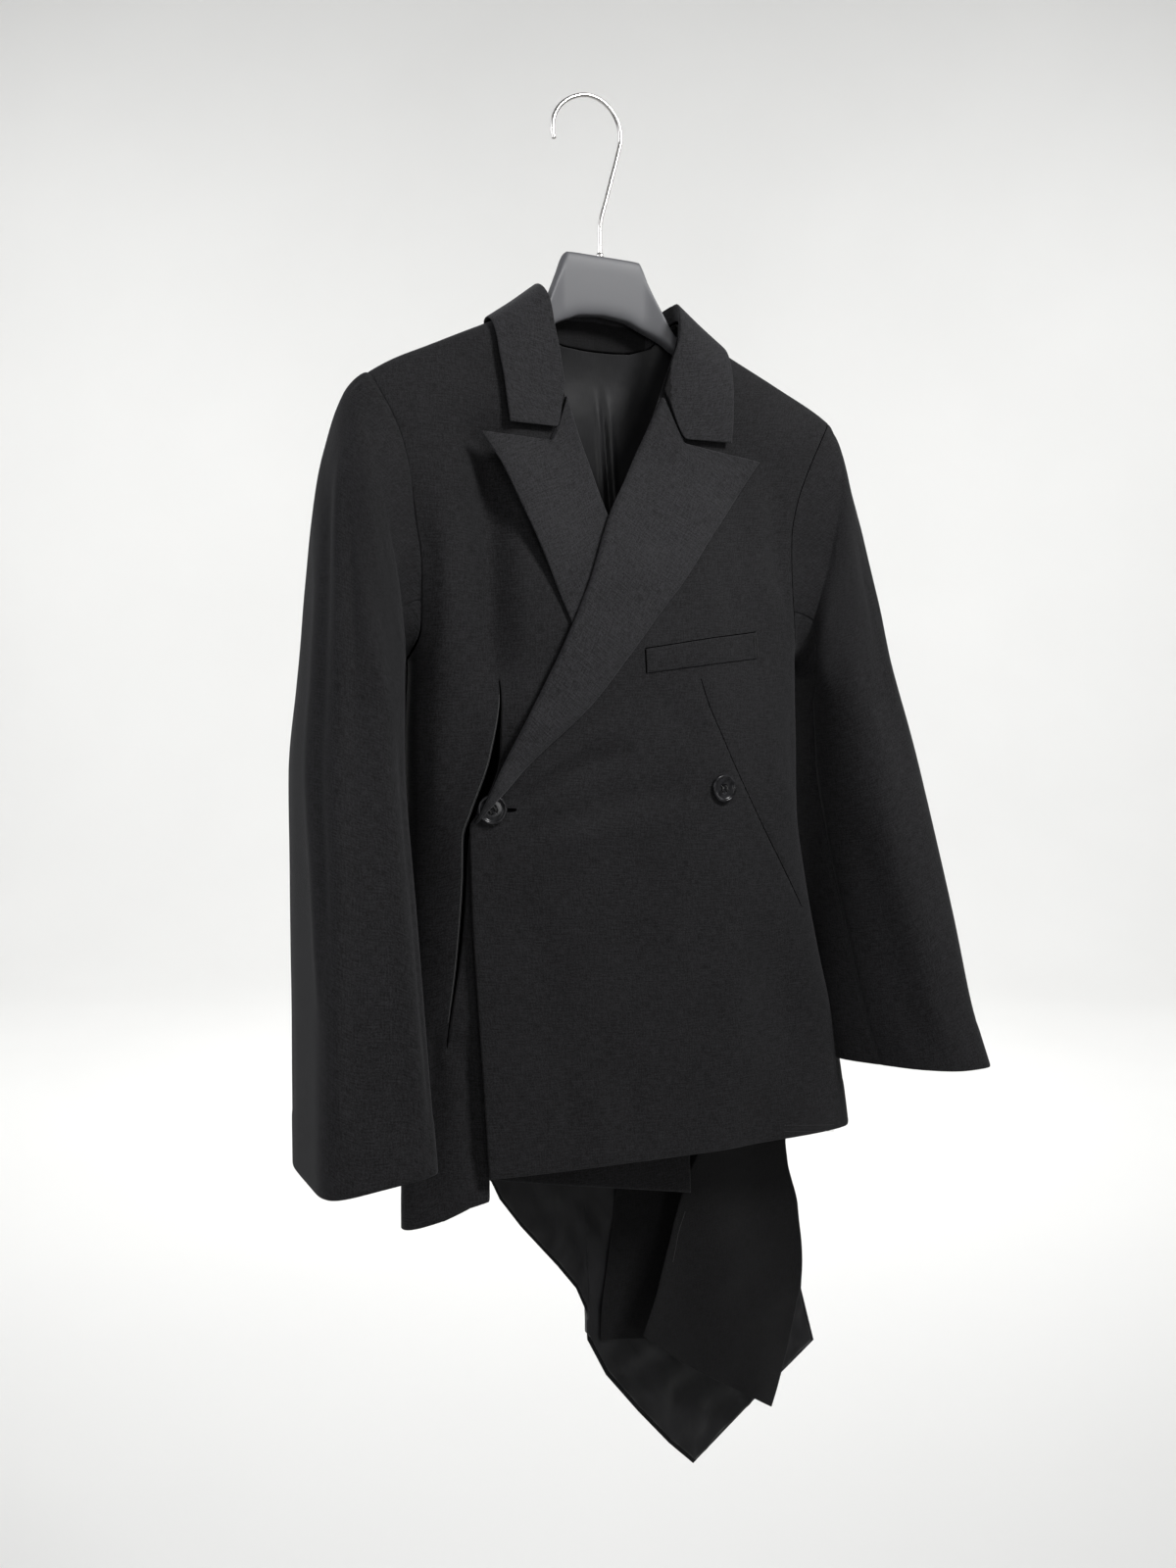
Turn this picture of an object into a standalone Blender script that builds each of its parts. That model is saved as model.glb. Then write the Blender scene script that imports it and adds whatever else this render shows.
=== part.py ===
"""Asymmetric double-breasted blazer hanging on its hanger.

Lengths in the tables are millimetres in the hanger's own frame: X to the
viewer's right, Y away from the viewer, Z up from the hanger's top edge.
The finished meshes are moved so that the hook's inner top is the origin.
"left" and "right" are the wearer's, so "left" is at the viewer's right, +X.
"""
import math

import bmesh
import bpy
import numpy as np

MM = 0.001
GAP = 0.35
CLOTH = 1.4
LINING = 0.8
LINING_GAP = 0.5
SEAT = CLOTH + LINING_GAP + LINING + GAP
LAPEL_LIFT = 2.8
OVERLAP_LIFT = 5.6
ARM_SPAN = 196.0
RIDGE_DROP = 62.0
RIDGE_POWER = 2.2
UNDERARM_Z = -310.0
HEAD_Z = -113.0
WIRE_R = 1.7
HOOK_CENTRE = (-10.0, 93.0)
HOOK_R = 26.8
ORIGIN = np.array([HOOK_CENTRE[0], 0.0, HOOK_CENTRE[1] + HOOK_R - WIRE_R])

FRONT, BACK = -1.0, 1.0

# The body's sections: height, half width at the left and at the right side,
# shift of the side line in Y, depth to the front, depth to the back, and how
# square the corner is.
BODY = np.array([
    [-1010.0, 215, 189, -46, 28, 54, 3.0],
    [-820.0, 212, 189, -44, 28, 54, 3.0],
    [-700.0, 200.5, 188, -41, 28, 53, 3.0],
    [-610.0, 187, 183, -37, 31, 51, 3.0],
    [-540.0, 170, 180, -33, 36, 49, 3.0],
    [-480.0, 157.5, 178, -29, 42, 47, 3.0],
    [-430.0, 151, 176, -25, 46, 45, 3.0],
    [-370.0, 153, 174, -20, 47, 43, 3.0],
    [-310.0, 154, 170, -15, 46, 41, 3.2],
    [-260.0, 161, 176, -10, 41, 38, 3.6],
    [-210.0, 172, 188, -6, 31, 33, 4.0],
    [-180.0, 187, 198, -4, 26, 29, 4.0],
    [-150.0, 204, 207, -2, 22, 25, 4.0],
    [-120.0, 212, 212, -1, 20, 22, 4.0],
    [-90.0, 216, 216, 0, 18.5, 20, 4.0],
    [0.0, 216, 216, 0, 17, 16, 4.0]])
SHIFT, DEEP_FRONT, DEEP_BACK, SQUARE = 3, 4, 5, 6

# The shoulder's ridge: distance from the centre, height.
SHOULDER = np.array([
    [0.0, -26], [40, -36], [62, -46], [100, -64],
    [150, -88], [180, -103], [196, -113], [210, -126]])

# The armhole seams: height, distance from the centre at the left and right.
ARMHOLE = np.array([
    [-310.0, 154, 170], [-290, 149, 166], [-250, 145, 166], [-211, 148, 169.5],
    [-185, 155, 172], [-160, 166, 176.5], [-140, 177, 184], [-126, 186, 191],
    [-113, 196, 196]])

# The overlapping (wearer's left) front's free edge, then its roll line.
EDGE_LEFT = np.array([
    [-690.0, -131], [-606, -135], [-537, -139], [-482, -141.5], [-430, -142],
    [-417, -134.5], [-396, -123], [-352, -98], [-303, -70], [-260, -46],
    [-230, -31], [-200, -16.5], [-176, -0.5], [-148, 16.5], [-128, 27.5],
    [-91, 43], [-46, 61]])

# The under (wearer's right) front's free edge, then its roll line.
EDGE_RIGHT = np.array([
    [-740.0, 60], [-600, 57], [-420, 51], [-362, 46], [-335, 36],
    [-300, 22], [-240, -4], [-202, -19.5], [-185, -24], [-163, -30],
    [-138, -38], [-111, -46], [-46, -61]])

# The open slit in the under front: height, X.
SLIT = np.array([
    [-720.0, -164], [-581, -158.5], [-523, -152], [-465, -147.5],
    [-436, -146.5], [-419, -141], [-380, -126.5], [-330, -116],
    [-200, -114], [-46, -112]])
SLIT_TOP, SLIT_FOOT = -330.0, -581.0

# Where the under front turns back below its button: height, X.
TURN = np.array([
    [-720.0, -124], [-600, -124], [-470, -124], [-400, -112],
    [-300, -98], [-46, -88]])

# The back's guides from the right side seam to the left one:
# X and Z at the hem, X at underarm height, X at the top.
BACK_GUIDES = np.array([
    [-182.0, -600, -168, -196],
    [-92, -718, -116, -129],
    [-38, -791, -70, -62],
    [-10, -840, -36, -34],
    [6, -889, 0, 0],
    [46, -942, 34, 34],
    [92, -990, 66, 62],
    [152, -948, 110, 129],
    [213, -906, 154, 196]])

# The back's free edge beside the left vent: height, X.
BACK_EDGE = np.array([
    [-906.0, 213], [-856, 199], [-837, 200.5], [-803, 197], [-761, 188],
    [-720, 179], [-660, 176], [-610, 186.5], [-600, 185]])

UPPER_ROWS = (0.0, 0.03, 0.1, 0.2, 0.3, 0.4, 0.5, 0.6, 0.72, 0.83,
              0.91, 0.965, 0.992, 1.0)
BACK_LOWER_ROWS = (1.0, 0.9, 0.78, 0.65, 0.52, 0.4, 0.28, 0.16)
LEFT_LOWER_ROWS = (1.0, 0.84, 0.68, 0.52, 0.32, 0.17)
RIGHT_LOWER_ROWS = (1.0, 0.9, 0.8, 0.69, 0.54, 0.4, 0.32, 0.27, 0.178, 0.051)
SIDE_EASE = (0.0, 0.09, 0.18, 0.28, 0.38, 0.48, 0.58, 0.68,
             0.77, 0.85, 0.91, 0.96, 0.988, 1.0)

# Lapels, a row per station along the roll: roll X, Z, then the mid point and
# the free edge's X, Z.  The top station bends at the notch.
LAPEL_LEFT = np.array([
    [38.5, -108, 54, -143.5, 118.5, -155],
    [27.5, -128, 60, -160, 102, -175],
    [16.5, -148, 50, -177, 87, -193.5],
    [-0.5, -176, 30, -205, 61, -223.5],
    [-16.5, -200, 12, -228, 39, -249],
    [-46, -260, -21, -273, 4.5, -284.5],
    [-70, -303, -44, -313, -19, -309.5],
    [-98, -352, -76, -356, -53, -346.5],
    [-123, -396, -109, -390, -94, -381],
    [-138.5, -427, -135, -423, -131, -417]])
LAPEL_RIGHT = np.array([
    [-44.5, -115, -59, -151.5, -121.5, -151.5],
    [-41, -128, -64, -158, -109, -170],
    [-31, -161, -58, -180, -95.5, -197.5],
    [-19.5, -201, -48, -221, -80, -234],
    [-4, -240, -34, -257, -65, -273],
    [22, -300, -6, -316, -43, -322],
    [36, -335, 18, -344, -4, -350],
    [45, -360, 40, -361, 34, -362]])

# The collar's half: X, girth and height above the body at the stand's foot,
# the fold, and the free edge.  Girth is 0 on the shoulder ridge, negative
# in front of it and positive behind.
COLLAR = np.array([
    [46.0, -70, 2.0, 43, -72, 4.2, 95, -83, 3.2],
    [51, -53, 2.4, 48, -54.5, 5.5, 98, -57, 3.2],
    [57, -30, 3.0, 54, -32, 9.0, 100, -35, 3.2],
    [60.5, 0, 2.4, 54, 0, 13.0, 100, 0, 3.2],
    [48, 36, 0.4, 46, 18, 11.0, 86, 36, 3.2],
    [30, 46, 0.2, 29, 27, 7.5, 56, 53, 3.2],
    [15, 49.5, 0.2, 14.5, 31, 6.4, 28, 62, 3.2],
    [0, 52.2, 0.2, 0, 33, 6.0, 0, 65, 3.2]])
NOTCH = (56.5, -101.0)
COLLAR_LEAN = np.array([4.0, 2.5, 1.0, 0, 0, 0, 0, 0])

# The sleeves' rings: outer X, Z, inner X, Z, middle Y, half depth, and how far
# the front of the ring is turned outward.
SLEEVE_LEFT = np.array([
    [203.5, -127, 158.5, -314, -22, 47, 0],
    [205.5, -160, 161, -318, -23, 55, 1],
    [213, -208, 163, -323, -25, 57, 3],
    [225, -266, 168, -333, -28, 58, 5],
    [237, -328, 177, -347, -32, 57, 8],
    [244.5, -390, 183, -392, -42, 55, 12],
    [246, -455, 183, -455, -57, 53, 17],
    [248.5, -520, 186, -520, -72, 51, 22],
    [253, -586, 191, -586, -87, 48, 26],
    [260.5, -633, 199.5, -633, -98, 47, 29]])
SLEEVE_RIGHT = np.array([
    [211.0, -127, 174, -314, -22, 46, 0],
    [222, -163, 176, -318, -23, 54, 0],
    [231, -214, 177.5, -323, -25, 58, 0],
    [238, -270, 180, -333, -28, 59, 0],
    [246, -330, 182, -352, -32, 58, 0],
    [255, -392, 186, -393, -42, 56, 0],
    [257.5, -460, 189, -457, -57, 54, 0],
    [261, -530, 191, -526, -73, 52, 0],
    [265, -600, 191, -594, -88, 49, 0],
    [268, -652, 190.5, -645, -100, 46, 0]])
SEAM_ROW = 3
# Where the front and the back seam run below the elbow, in degrees round the
# sleeve: 0 is outermost, 90 in front, 180 innermost.
FRONT_SEAM, BACK_SEAM = 180.0, 255.0

# The panel that hangs in the left vent: X, Z at its left edge, X, Z at its
# right edge, Y at the left, Y at the right.
SIDE_TAIL = np.array([
    [138.0, -560, 160, -560, -40, -38],
    [104, -640, 160, -640, -36, -28],
    [57, -728, 165, -711, -32, -15],
    [44, -775, 182, -775, -32, -11],
    [32, -812, 190.6, -829, -33, -8],
    [24, -831, 178, -896, -33, -8],
    [18.4, -844, 157, -946, -33, -9]])
SIDE_TAIL_FOOT = np.array([[18.4, -844], [60.4, -880], [94, -903],
                           [133, -929], [157, -946]])

# The strip behind it: X, Z at the left edge, X, Z at the right edge.
TAIL_UNDERLAP = np.array([
    [40.0, -640, 112, -640], [16, -715, 112, -715], [8, -775, 110, -775],
    [-1, -835, 108, -838], [-2, -858, 104, -878]])

# The hanger's sections: X, top, foot, half thickness, corner.
HANGER = np.array([
    [0.0, 0, -45, 6.0, 5.0], [20, 0, -47, 6.0, 5.0],
    [31, -0.4, -51, 6.0, 5.0], [33.5, -4, -52, 6.0, 5.0],
    [38, -15, -54, 6.0, 5.0], [45, -30, -58, 6.0, 4.5],
    [51, -42.3, -62, 6.0, 4.0], [56, -51.2, -66, 6.2, 3.5],
    [61, -56, -69, 5.5, 3.2], [68, -60, -75, 6.0, 3.0],
    [85, -66.4, -87, 8.6, 2.6], [110, -78.4, -102, 10.6, 2.4],
    [140, -92.4, -119, 11.3, 2.4], [166, -105.4, -131, 10.6, 2.4],
    [180, -113.6, -136, 9.2, 2.3], [186, -119.6, -134, 5.6, 2.2]])

FINISHES = {
    "wool": ((0.018, 0.018, 0.021, 1.0), 0.85, 0.0),
    "wool_facing": ((0.024, 0.024, 0.027, 1.0), 0.85, 0.0),
    "lining": ((0.014, 0.014, 0.016, 1.0), 0.35, 0.0),
    "hanger_plastic": ((0.115, 0.117, 0.125, 1.0), 0.55, 0.0),
    "hook_steel": ((0.62, 0.61, 0.6, 1.0), 0.28, 1.0),
    "button_resin": ((0.03, 0.03, 0.033, 1.0), 0.25, 0.0)}


def table(z, rows, column):
    """Read one column of a table whose first column rises."""
    return np.interp(z, rows[:, 0], rows[:, column])


def shoulder_z(x):
    return np.interp(np.abs(x), SHOULDER[:, 0], SHOULDER[:, 1])


def side_line_y(x, z):
    """Depth of the line where the front meets the back."""
    rise = np.clip((z - UNDERARM_Z) / 200.0, 0.0, 1.0)
    bow = 17.0 * (np.abs(x) / ARM_SPAN) ** 1.5 * rise
    return -10.0 + 5.0 * rise - bow + table(z, BODY, SHIFT)


def body_y(x, z, side):
    """Depth of the body's front (side -1) or back (side +1) at x, z."""
    square = table(z, BODY, SQUARE)
    width = np.where(x >= 0.0, table(z, BODY, 1), table(z, BODY, 2))
    across = np.clip(np.abs(x) / width, 0.0, 1.0)
    round_side = (1.0 - across ** square) ** (1.0 / square)
    down = np.clip((shoulder_z(x) - z) / RIDGE_DROP, 0.0, 1.0)
    round_top = (1.0 - (1.0 - down) ** RIDGE_POWER) ** (1.0 / RIDGE_POWER)
    depth = table(z, BODY, DEEP_FRONT if side < 0 else DEEP_BACK)
    return side_line_y(x, z) + side * depth * round_side * round_top


def ease(t):
    t = np.clip(t, 0.0, 1.0)
    return t * t * (3.0 - 2.0 * t)


def tail_y(x, z, side):
    """The back hangs flat below the open vents."""
    hang = ease((-600.0 - z) / 170.0)
    flat = 8.0 + 3.0 * np.sin(x / 55.0)
    return body_y(x, z, BACK) * (1.0 - hang) + flat * hang


def turned_y(x, z, side):
    """The under front, which turns back on itself below its button."""
    depth = 44.0 * ease((-450.0 - z) / 220.0)
    over = ease((x - np.interp(z, TURN[:, 0], TURN[:, 1]) + 4.0) / 9.0)
    return body_y(x, z, FRONT) + depth * over


def slit_lift(x, z):
    """The slit's outer edge stands a little off the band beside it."""
    line = np.interp(z, SLIT[:, 0], SLIT[:, 1])
    along = ease((SLIT_TOP - z) / 90.0) * ease((z - SLIT_FOOT) / 70.0)
    beside = np.exp(-((x - line) / 17.0) ** 2)
    return 3.5 * along * beside * (x < line + 0.5)


def overlap_lift(x, z):
    """How far the overlapping front stands off the under front."""
    return OVERLAP_LIFT * ease((108.0 - x) / 60.0) * ease((-152.0 - z) / 50.0)


def surface(x, z, side, field=body_y):
    """Points and outward normals of a height field, in millimetres."""
    step = 0.02
    inward = -np.sign(np.where(x == 0.0, 1.0, x))
    y = field(x, z, side)
    slope_x = (field(x + inward * step, z, side) - y) / (inward * step)
    slope_z = (y - field(x, z - step, side)) / step
    normal = side * np.stack([-slope_x, np.ones_like(y), -slope_z], -1)
    normal /= np.linalg.norm(normal, axis=-1, keepdims=True)
    return np.stack([x, y, z], -1), normal


def grid_normals(points, towards):
    """Normals of a grid of points, pointing along the given vector."""
    along = np.gradient(points, axis=0)
    across = np.gradient(points, axis=1)
    normal = np.cross(along, across)
    normal /= np.linalg.norm(normal, axis=-1, keepdims=True)
    if float((normal * towards).sum()) < 0.0:
        normal = -normal
    return normal


def material(name):
    colour, roughness, metallic = FINISHES[name]
    found = bpy.data.materials.get(name)
    if found:
        return found
    made = bpy.data.materials.new(name)
    made.use_nodes = True
    shader = made.node_tree.nodes["Principled BSDF"]
    shader.inputs["Base Color"].default_value = colour
    shader.inputs["Roughness"].default_value = roughness
    shader.inputs["Metallic"].default_value = metallic
    return made


def add_mesh(name, finish, points, faces):
    """Add one named solid with outward faces, moved into the row's frame."""
    mesh = bpy.data.meshes.new(name)
    placed = (np.asarray(points) - ORIGIN) * MM
    mesh.from_pydata([tuple(p) for p in placed], [], faces)
    shape = bmesh.new()
    shape.from_mesh(mesh)
    bmesh.ops.remove_doubles(shape, verts=shape.verts, dist=1e-7)
    bmesh.ops.recalc_face_normals(shape, faces=shape.faces)
    if shape.calc_volume(signed=True) < 0.0:
        bmesh.ops.reverse_faces(shape, faces=shape.faces)
    bmesh.ops.triangulate(shape, faces=shape.faces)
    shape.to_mesh(mesh)
    shape.free()
    mesh.shade_smooth()
    mesh.materials.append(material(finish))
    made = bpy.data.objects.new(name, mesh)
    bpy.context.scene.collection.objects.link(made)
    return made


def wall(name, finish, points, normals, thickness, missing=()):
    """Close a grid of mid points into a wall; missing lists absent cells."""
    rows, columns = points.shape[:2]
    outer = points + normals * thickness / 2.0
    inner = points - normals * thickness / 2.0
    stacked = np.concatenate([outer.reshape(-1, 3), inner.reshape(-1, 3)])
    count = rows * columns
    absent = set(missing)

    def here(i, j):
        inside = 0 <= i < rows - 1 and 0 <= j < columns - 1
        return inside and (i, j) not in absent

    faces = []
    for i in range(rows - 1):
        for j in range(columns - 1):
            if not here(i, j):
                continue
            a = i * columns + j
            b, c, d = a + 1, a + columns + 1, a + columns
            faces.append((a, b, c, d))
            faces.append((d + count, c + count, b + count, a + count))
            sides = (((i - 1, j), a, b), ((i, j + 1), b, c),
                     ((i + 1, j), c, d), ((i, j - 1), d, a))
            for neighbour, p, q in sides:
                if not here(*neighbour):
                    faces.append((q, p, p + count, q + count))
    used = sorted({k for face in faces for k in face})
    place = {k: n for n, k in enumerate(used)}
    faces = [tuple(place[k] for k in face) for face in faces]
    return add_mesh(name, finish, stacked[used], faces)


def rows_of(hem_z, top_z, lower, upper):
    """Heights of a guide's rows from the hem to the top."""
    below = [UNDERARM_Z + (hem_z - UNDERARM_Z) * e for e in lower]
    above = [UNDERARM_Z + (top_z - UNDERARM_Z) * f for f in upper]
    return np.array(below + above)


def side_x(z, column):
    """Distance of the side seam, then of the armhole, from the centre.
    Column 1 is the left side and column 2 the right."""
    seam = table(z, BODY, column) * (1.0 - 1e-6)
    return np.where(z < UNDERARM_Z, seam, table(z, ARMHOLE, column))


def seam_shift(points, normals, side):
    """Open the seam gap where this panel reaches the side line."""
    line = side_line_y(points[..., 0], points[..., 2])
    reach = np.abs(points[..., 1] - line)
    push = np.clip(GAP / 2.0 - reach, 0.0, None)
    points[..., 1] += side * push
    return points


def build_left_front():
    edge_z = rows_of(-679.0, shoulder_z(61.0), LEFT_LOWER_ROWS, UPPER_ROWS)
    side_z = rows_of(-691.0, HEAD_Z, LEFT_LOWER_ROWS, UPPER_ROWS)
    u = np.array(SIDE_EASE)
    top_z = shoulder_z(61.0 + (ARM_SPAN - 61.0) * u)
    z = np.stack([rows_of(hem, top, LEFT_LOWER_ROWS, UPPER_ROWS)
                  for hem, top in zip(-679.0 - 12.0 * u, top_z)], axis=1)
    edge = np.interp(edge_z, EDGE_LEFT[:, 0], EDGE_LEFT[:, 1])[:, None]
    side = side_x(side_z, 1)[:, None]
    x = edge + (side - edge) * u[None, :]
    points, normals = surface(x, z, FRONT)
    points = points + normals * overlap_lift(x, z)[..., None]
    points = seam_shift(points, normals, FRONT)
    wall("front_left", "wool", points, normals, CLOTH)


def right_front_grid():
    """Columns of the under front: side, slit, turn, free edge."""
    u_side = 1.0 - np.array(SIDE_EASE)[::-1][[0, 1, 2, 4, 6, 8, 10, 12, 13]]
    rows = RIGHT_LOWER_ROWS
    corners = (-713.0, -706.5, -706.5, -699.5, -696.0, -734.0)
    tops = (-ARM_SPAN, -112.0, -110.0, -92.0, -84.0, -61.0)
    z_guides = [rows_of(hem, shoulder_z(top), rows, UPPER_ROWS)
                for hem, top in zip(corners, tops)]
    slit = np.interp(z_guides[1], SLIT[:, 0], SLIT[:, 1])
    opening = ease((SLIT_TOP + 12 - z_guides[1]) / 80.0)
    opening = opening * ease((z_guides[1] - SLIT_FOOT + 12) / 80.0)
    width = 1.0 + 3.8 * opening
    turn = np.interp(z_guides[3], TURN[:, 0], TURN[:, 1])
    edge = np.interp(z_guides[5], EDGE_RIGHT[:, 0], EDGE_RIGHT[:, 1])
    x_guides = [-side_x(z_guides[0], 2), slit, slit + width,
                turn - 5.0, turn + 6.0, edge]
    cells = (None, 1, 1, 3, 5)
    xs, zs = [], []
    for k, count in enumerate(cells):
        steps = u_side if count is None else np.arange(count) / count
        steps = steps[:-1] if count is None else steps
        for t in steps:
            xs.append(x_guides[k] + (x_guides[k + 1] - x_guides[k]) * t)
            zs.append(z_guides[k] + (z_guides[k + 1] - z_guides[k]) * t)
    xs.append(x_guides[-1])
    zs.append(z_guides[-1])
    x, z = np.stack(xs, axis=1), np.stack(zs, axis=1)
    top = shoulder_z(x[-1])
    share = (z - UNDERARM_Z) / (z[-1] - UNDERARM_Z)
    z = np.where(z > UNDERARM_Z, UNDERARM_Z + (top - UNDERARM_Z) * share, z)
    return x, z, len(u_side) - 1


def build_right_front():
    x, z, slit_column = right_front_grid()
    points, normals = surface(x, z, FRONT, turned_y)
    points = points + normals * slit_lift(x, z)[..., None]
    points = seam_shift(points, normals, FRONT)
    missing = [(i, slit_column) for i in range(3, len(RIGHT_LOWER_ROWS) - 1)]
    wall("front_right", "wool", points, normals, CLOTH, missing)


def neck_z(x):
    """The back's neckline, just under the collar stand's foot."""
    feet = np.array([ridge_point(*row[:3]) for row in COLLAR[3:]])[::-1]
    return np.interp(abs(x), feet[:, 0], feet[:, 2]) - 1.6


def back_grid():
    """The back's columns follow its guides; the hem runs down to a tail."""
    xs, zs = [], []
    guides = BACK_GUIDES
    for k in range(len(guides) - 1):
        steps = (0.0, 0.5)
        if k == 0:
            steps = (0.0, 0.03, 0.12, 0.35, 0.65)
        if k == len(guides) - 2:
            steps = (0.0, 0.35, 0.65, 0.88, 0.97)
        for t in steps:
            xs.append(guides[k] * (1 - t) + guides[k + 1] * t)
    xs.append(guides[-1])
    columns = np.array(xs)
    grid_x, grid_z = [], []
    for hem_x, hem_z, under_x, top_x in columns:
        top_z = shoulder_z(top_x) if abs(top_x) >= 62.0 else neck_z(top_x)
        z = rows_of(hem_z, top_z, BACK_LOWER_ROWS, UPPER_ROWS)
        hem_share = np.clip((z - UNDERARM_Z) / (hem_z - UNDERARM_Z), 0, 1)
        top_share = np.clip((z - UNDERARM_Z) / (top_z - UNDERARM_Z), 0, 1)
        low = under_x + (hem_x - under_x) * hem_share
        high = under_x + (top_x - under_x) * top_share
        grid_x.append(np.where(z < UNDERARM_Z, low, high))
        grid_z.append(z)
    x, z = np.stack(grid_x, axis=1), np.stack(grid_z, axis=1)
    fit_sides(x, z)
    return x, z


def fit_sides(x, z):
    """Stretch each row so that its ends lie on the seams or the vent."""
    for i in range(x.shape[0]):
        low, high = x[i, 0], x[i, -1]
        end = side_x(z[i, -1], 1)
        if z[i, -1] < BACK_EDGE[-1, 0]:
            end = table(z[i, -1], BACK_EDGE, 1)
        share = np.where(x[i] < 0, x[i] / low, x[i] / high)
        shift = np.where(x[i] < 0, -side_x(z[i, 0], 2) - low, end - high)
        x[i] += shift * np.clip(share, 0.0, 1.0)


def build_back():
    x, z = back_grid()
    points, normals = surface(x, z, BACK, tail_y)
    points = seam_shift(points, normals, BACK)
    wall("back", "wool", points, normals, CLOTH)
    inside = slice(0, x.shape[0])
    lining = points - normals * (CLOTH / 2 + LINING_GAP + LINING / 2)
    keep = slice(2, x.shape[1] - 2)
    lined = lining[inside, keep]
    facing = normals[inside, keep]
    lined = lined.copy()
    lined[0] = lined[0] * 0.8 + lined[1] * 0.2
    lined[-1] = lined[-1] * 0.5 + lined[-2] * 0.5
    wall("back_lining", "lining", lined, facing, LINING)


def build_lapel(name, stations, under, extra):
    """A lapel lies on its front, from the roll line to its free edge."""
    count = 7
    along = np.linspace(0, len(stations) - 1, 2 * len(stations) - 1)
    fine = np.stack([np.interp(along, np.arange(len(stations)),
                               stations[:, k]) for k in range(6)], axis=1)
    t = np.linspace(0.0, 1.0, count)
    knots = np.array([0.0, 0.5, 1.0])
    x = np.stack([np.interp(t, knots, row[[0, 2, 4]]) for row in fine])
    z = np.stack([np.interp(t, knots, row[[1, 3, 5]]) for row in fine])
    points, normals = surface(x, z, FRONT)
    lift = under(x, z) + LAPEL_LIFT + extra(x, z)
    points = points + normals * lift[..., None]
    wall(name, "wool_facing", points, normals, CLOTH)


def button_lift(x, z):
    """The lapel's foot rides over the button that it half covers."""
    away = ((x + 127.0) / 26.0) ** 2 + ((z + 414.0) / 24.0) ** 2
    return 4.6 * np.exp(-away ** 2)


def ridge_point(x, girth, height):
    """A point around the shoulder: girth 0 on the ridge, height off it."""
    quarter = 66.0
    turn = np.clip(np.abs(girth) / quarter, 0.0, 1.0) * math.pi / 2
    drop = RIDGE_DROP * (1.0 - np.cos(turn))
    drop = drop + np.clip(np.abs(girth) - quarter, 0.0, None)
    side = BACK if girth >= 0.0 else FRONT
    z = shoulder_z(x) - np.maximum(drop, 0.01)
    point, normal = surface(np.array(float(x)), np.array(float(z)), side)
    return point + normal * height


def collar_grid(lean):
    """Stations round the neck; each crosses stand, fold and leaf."""
    count = len(COLLAR)
    stations = COLLAR.copy()
    stations[:, 0] += lean * COLLAR_LEAN
    stations[:, 3] += lean * COLLAR_LEAN
    along = np.linspace(0, count - 1, 2 * count - 1)
    half = np.stack([np.interp(along, np.arange(count), stations[:, k])
                     for k in range(9)], axis=1)
    grid = []
    for index, row in enumerate(half):
        foot = ridge_point(row[0], row[1], row[2])
        fold = ridge_point(row[3], row[4], row[5])
        edge = ridge_point(row[6], row[7], row[8])
        middle = 0.5 * (row[3:6] + row[6:9])
        if index == 0:
            middle[:2] = NOTCH
        middle[2] = 0.45 * row[5] + 0.55 * row[8]
        leaf = ridge_point(*middle)
        near_fold = fold * 0.8 + leaf * 0.2
        far = leaf * 0.5 + edge * 0.5
        grid.append([foot, foot * 0.45 + fold * 0.55, fold,
                     near_fold, leaf, far, edge])
    return np.array(grid)


def build_collar():
    left, right = collar_grid(-1.0), collar_grid(1.0)
    right = right[:-1][::-1].copy()
    right[..., 0] *= -1.0
    points = np.concatenate([left, right])
    normals = grid_normals(points, np.array([0.0, 0.0, 1.0]))
    wall("collar", "wool_facing", points, normals, CLOTH)


def armhole_loop(angles, column):
    """One armhole seam and the body's normals along it."""
    middle = (HEAD_Z + UNDERARM_Z) / 2.0
    half = (HEAD_Z - UNDERARM_Z) / 2.0
    z = middle + half * np.cos(angles)
    z = np.clip(z, UNDERARM_Z + 0.02, HEAD_Z - 0.02)
    x = table(z, ARMHOLE, column) * (1.0 if column == 1 else -1.0)
    front = np.sin(angles) >= 0.0
    loops = [surface(x, z, FRONT), surface(x, z, BACK)]
    pick = front[:, None]
    return (np.where(pick, loops[0][0], loops[1][0]),
            np.where(pick, loops[0][1], loops[1][1]))


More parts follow.
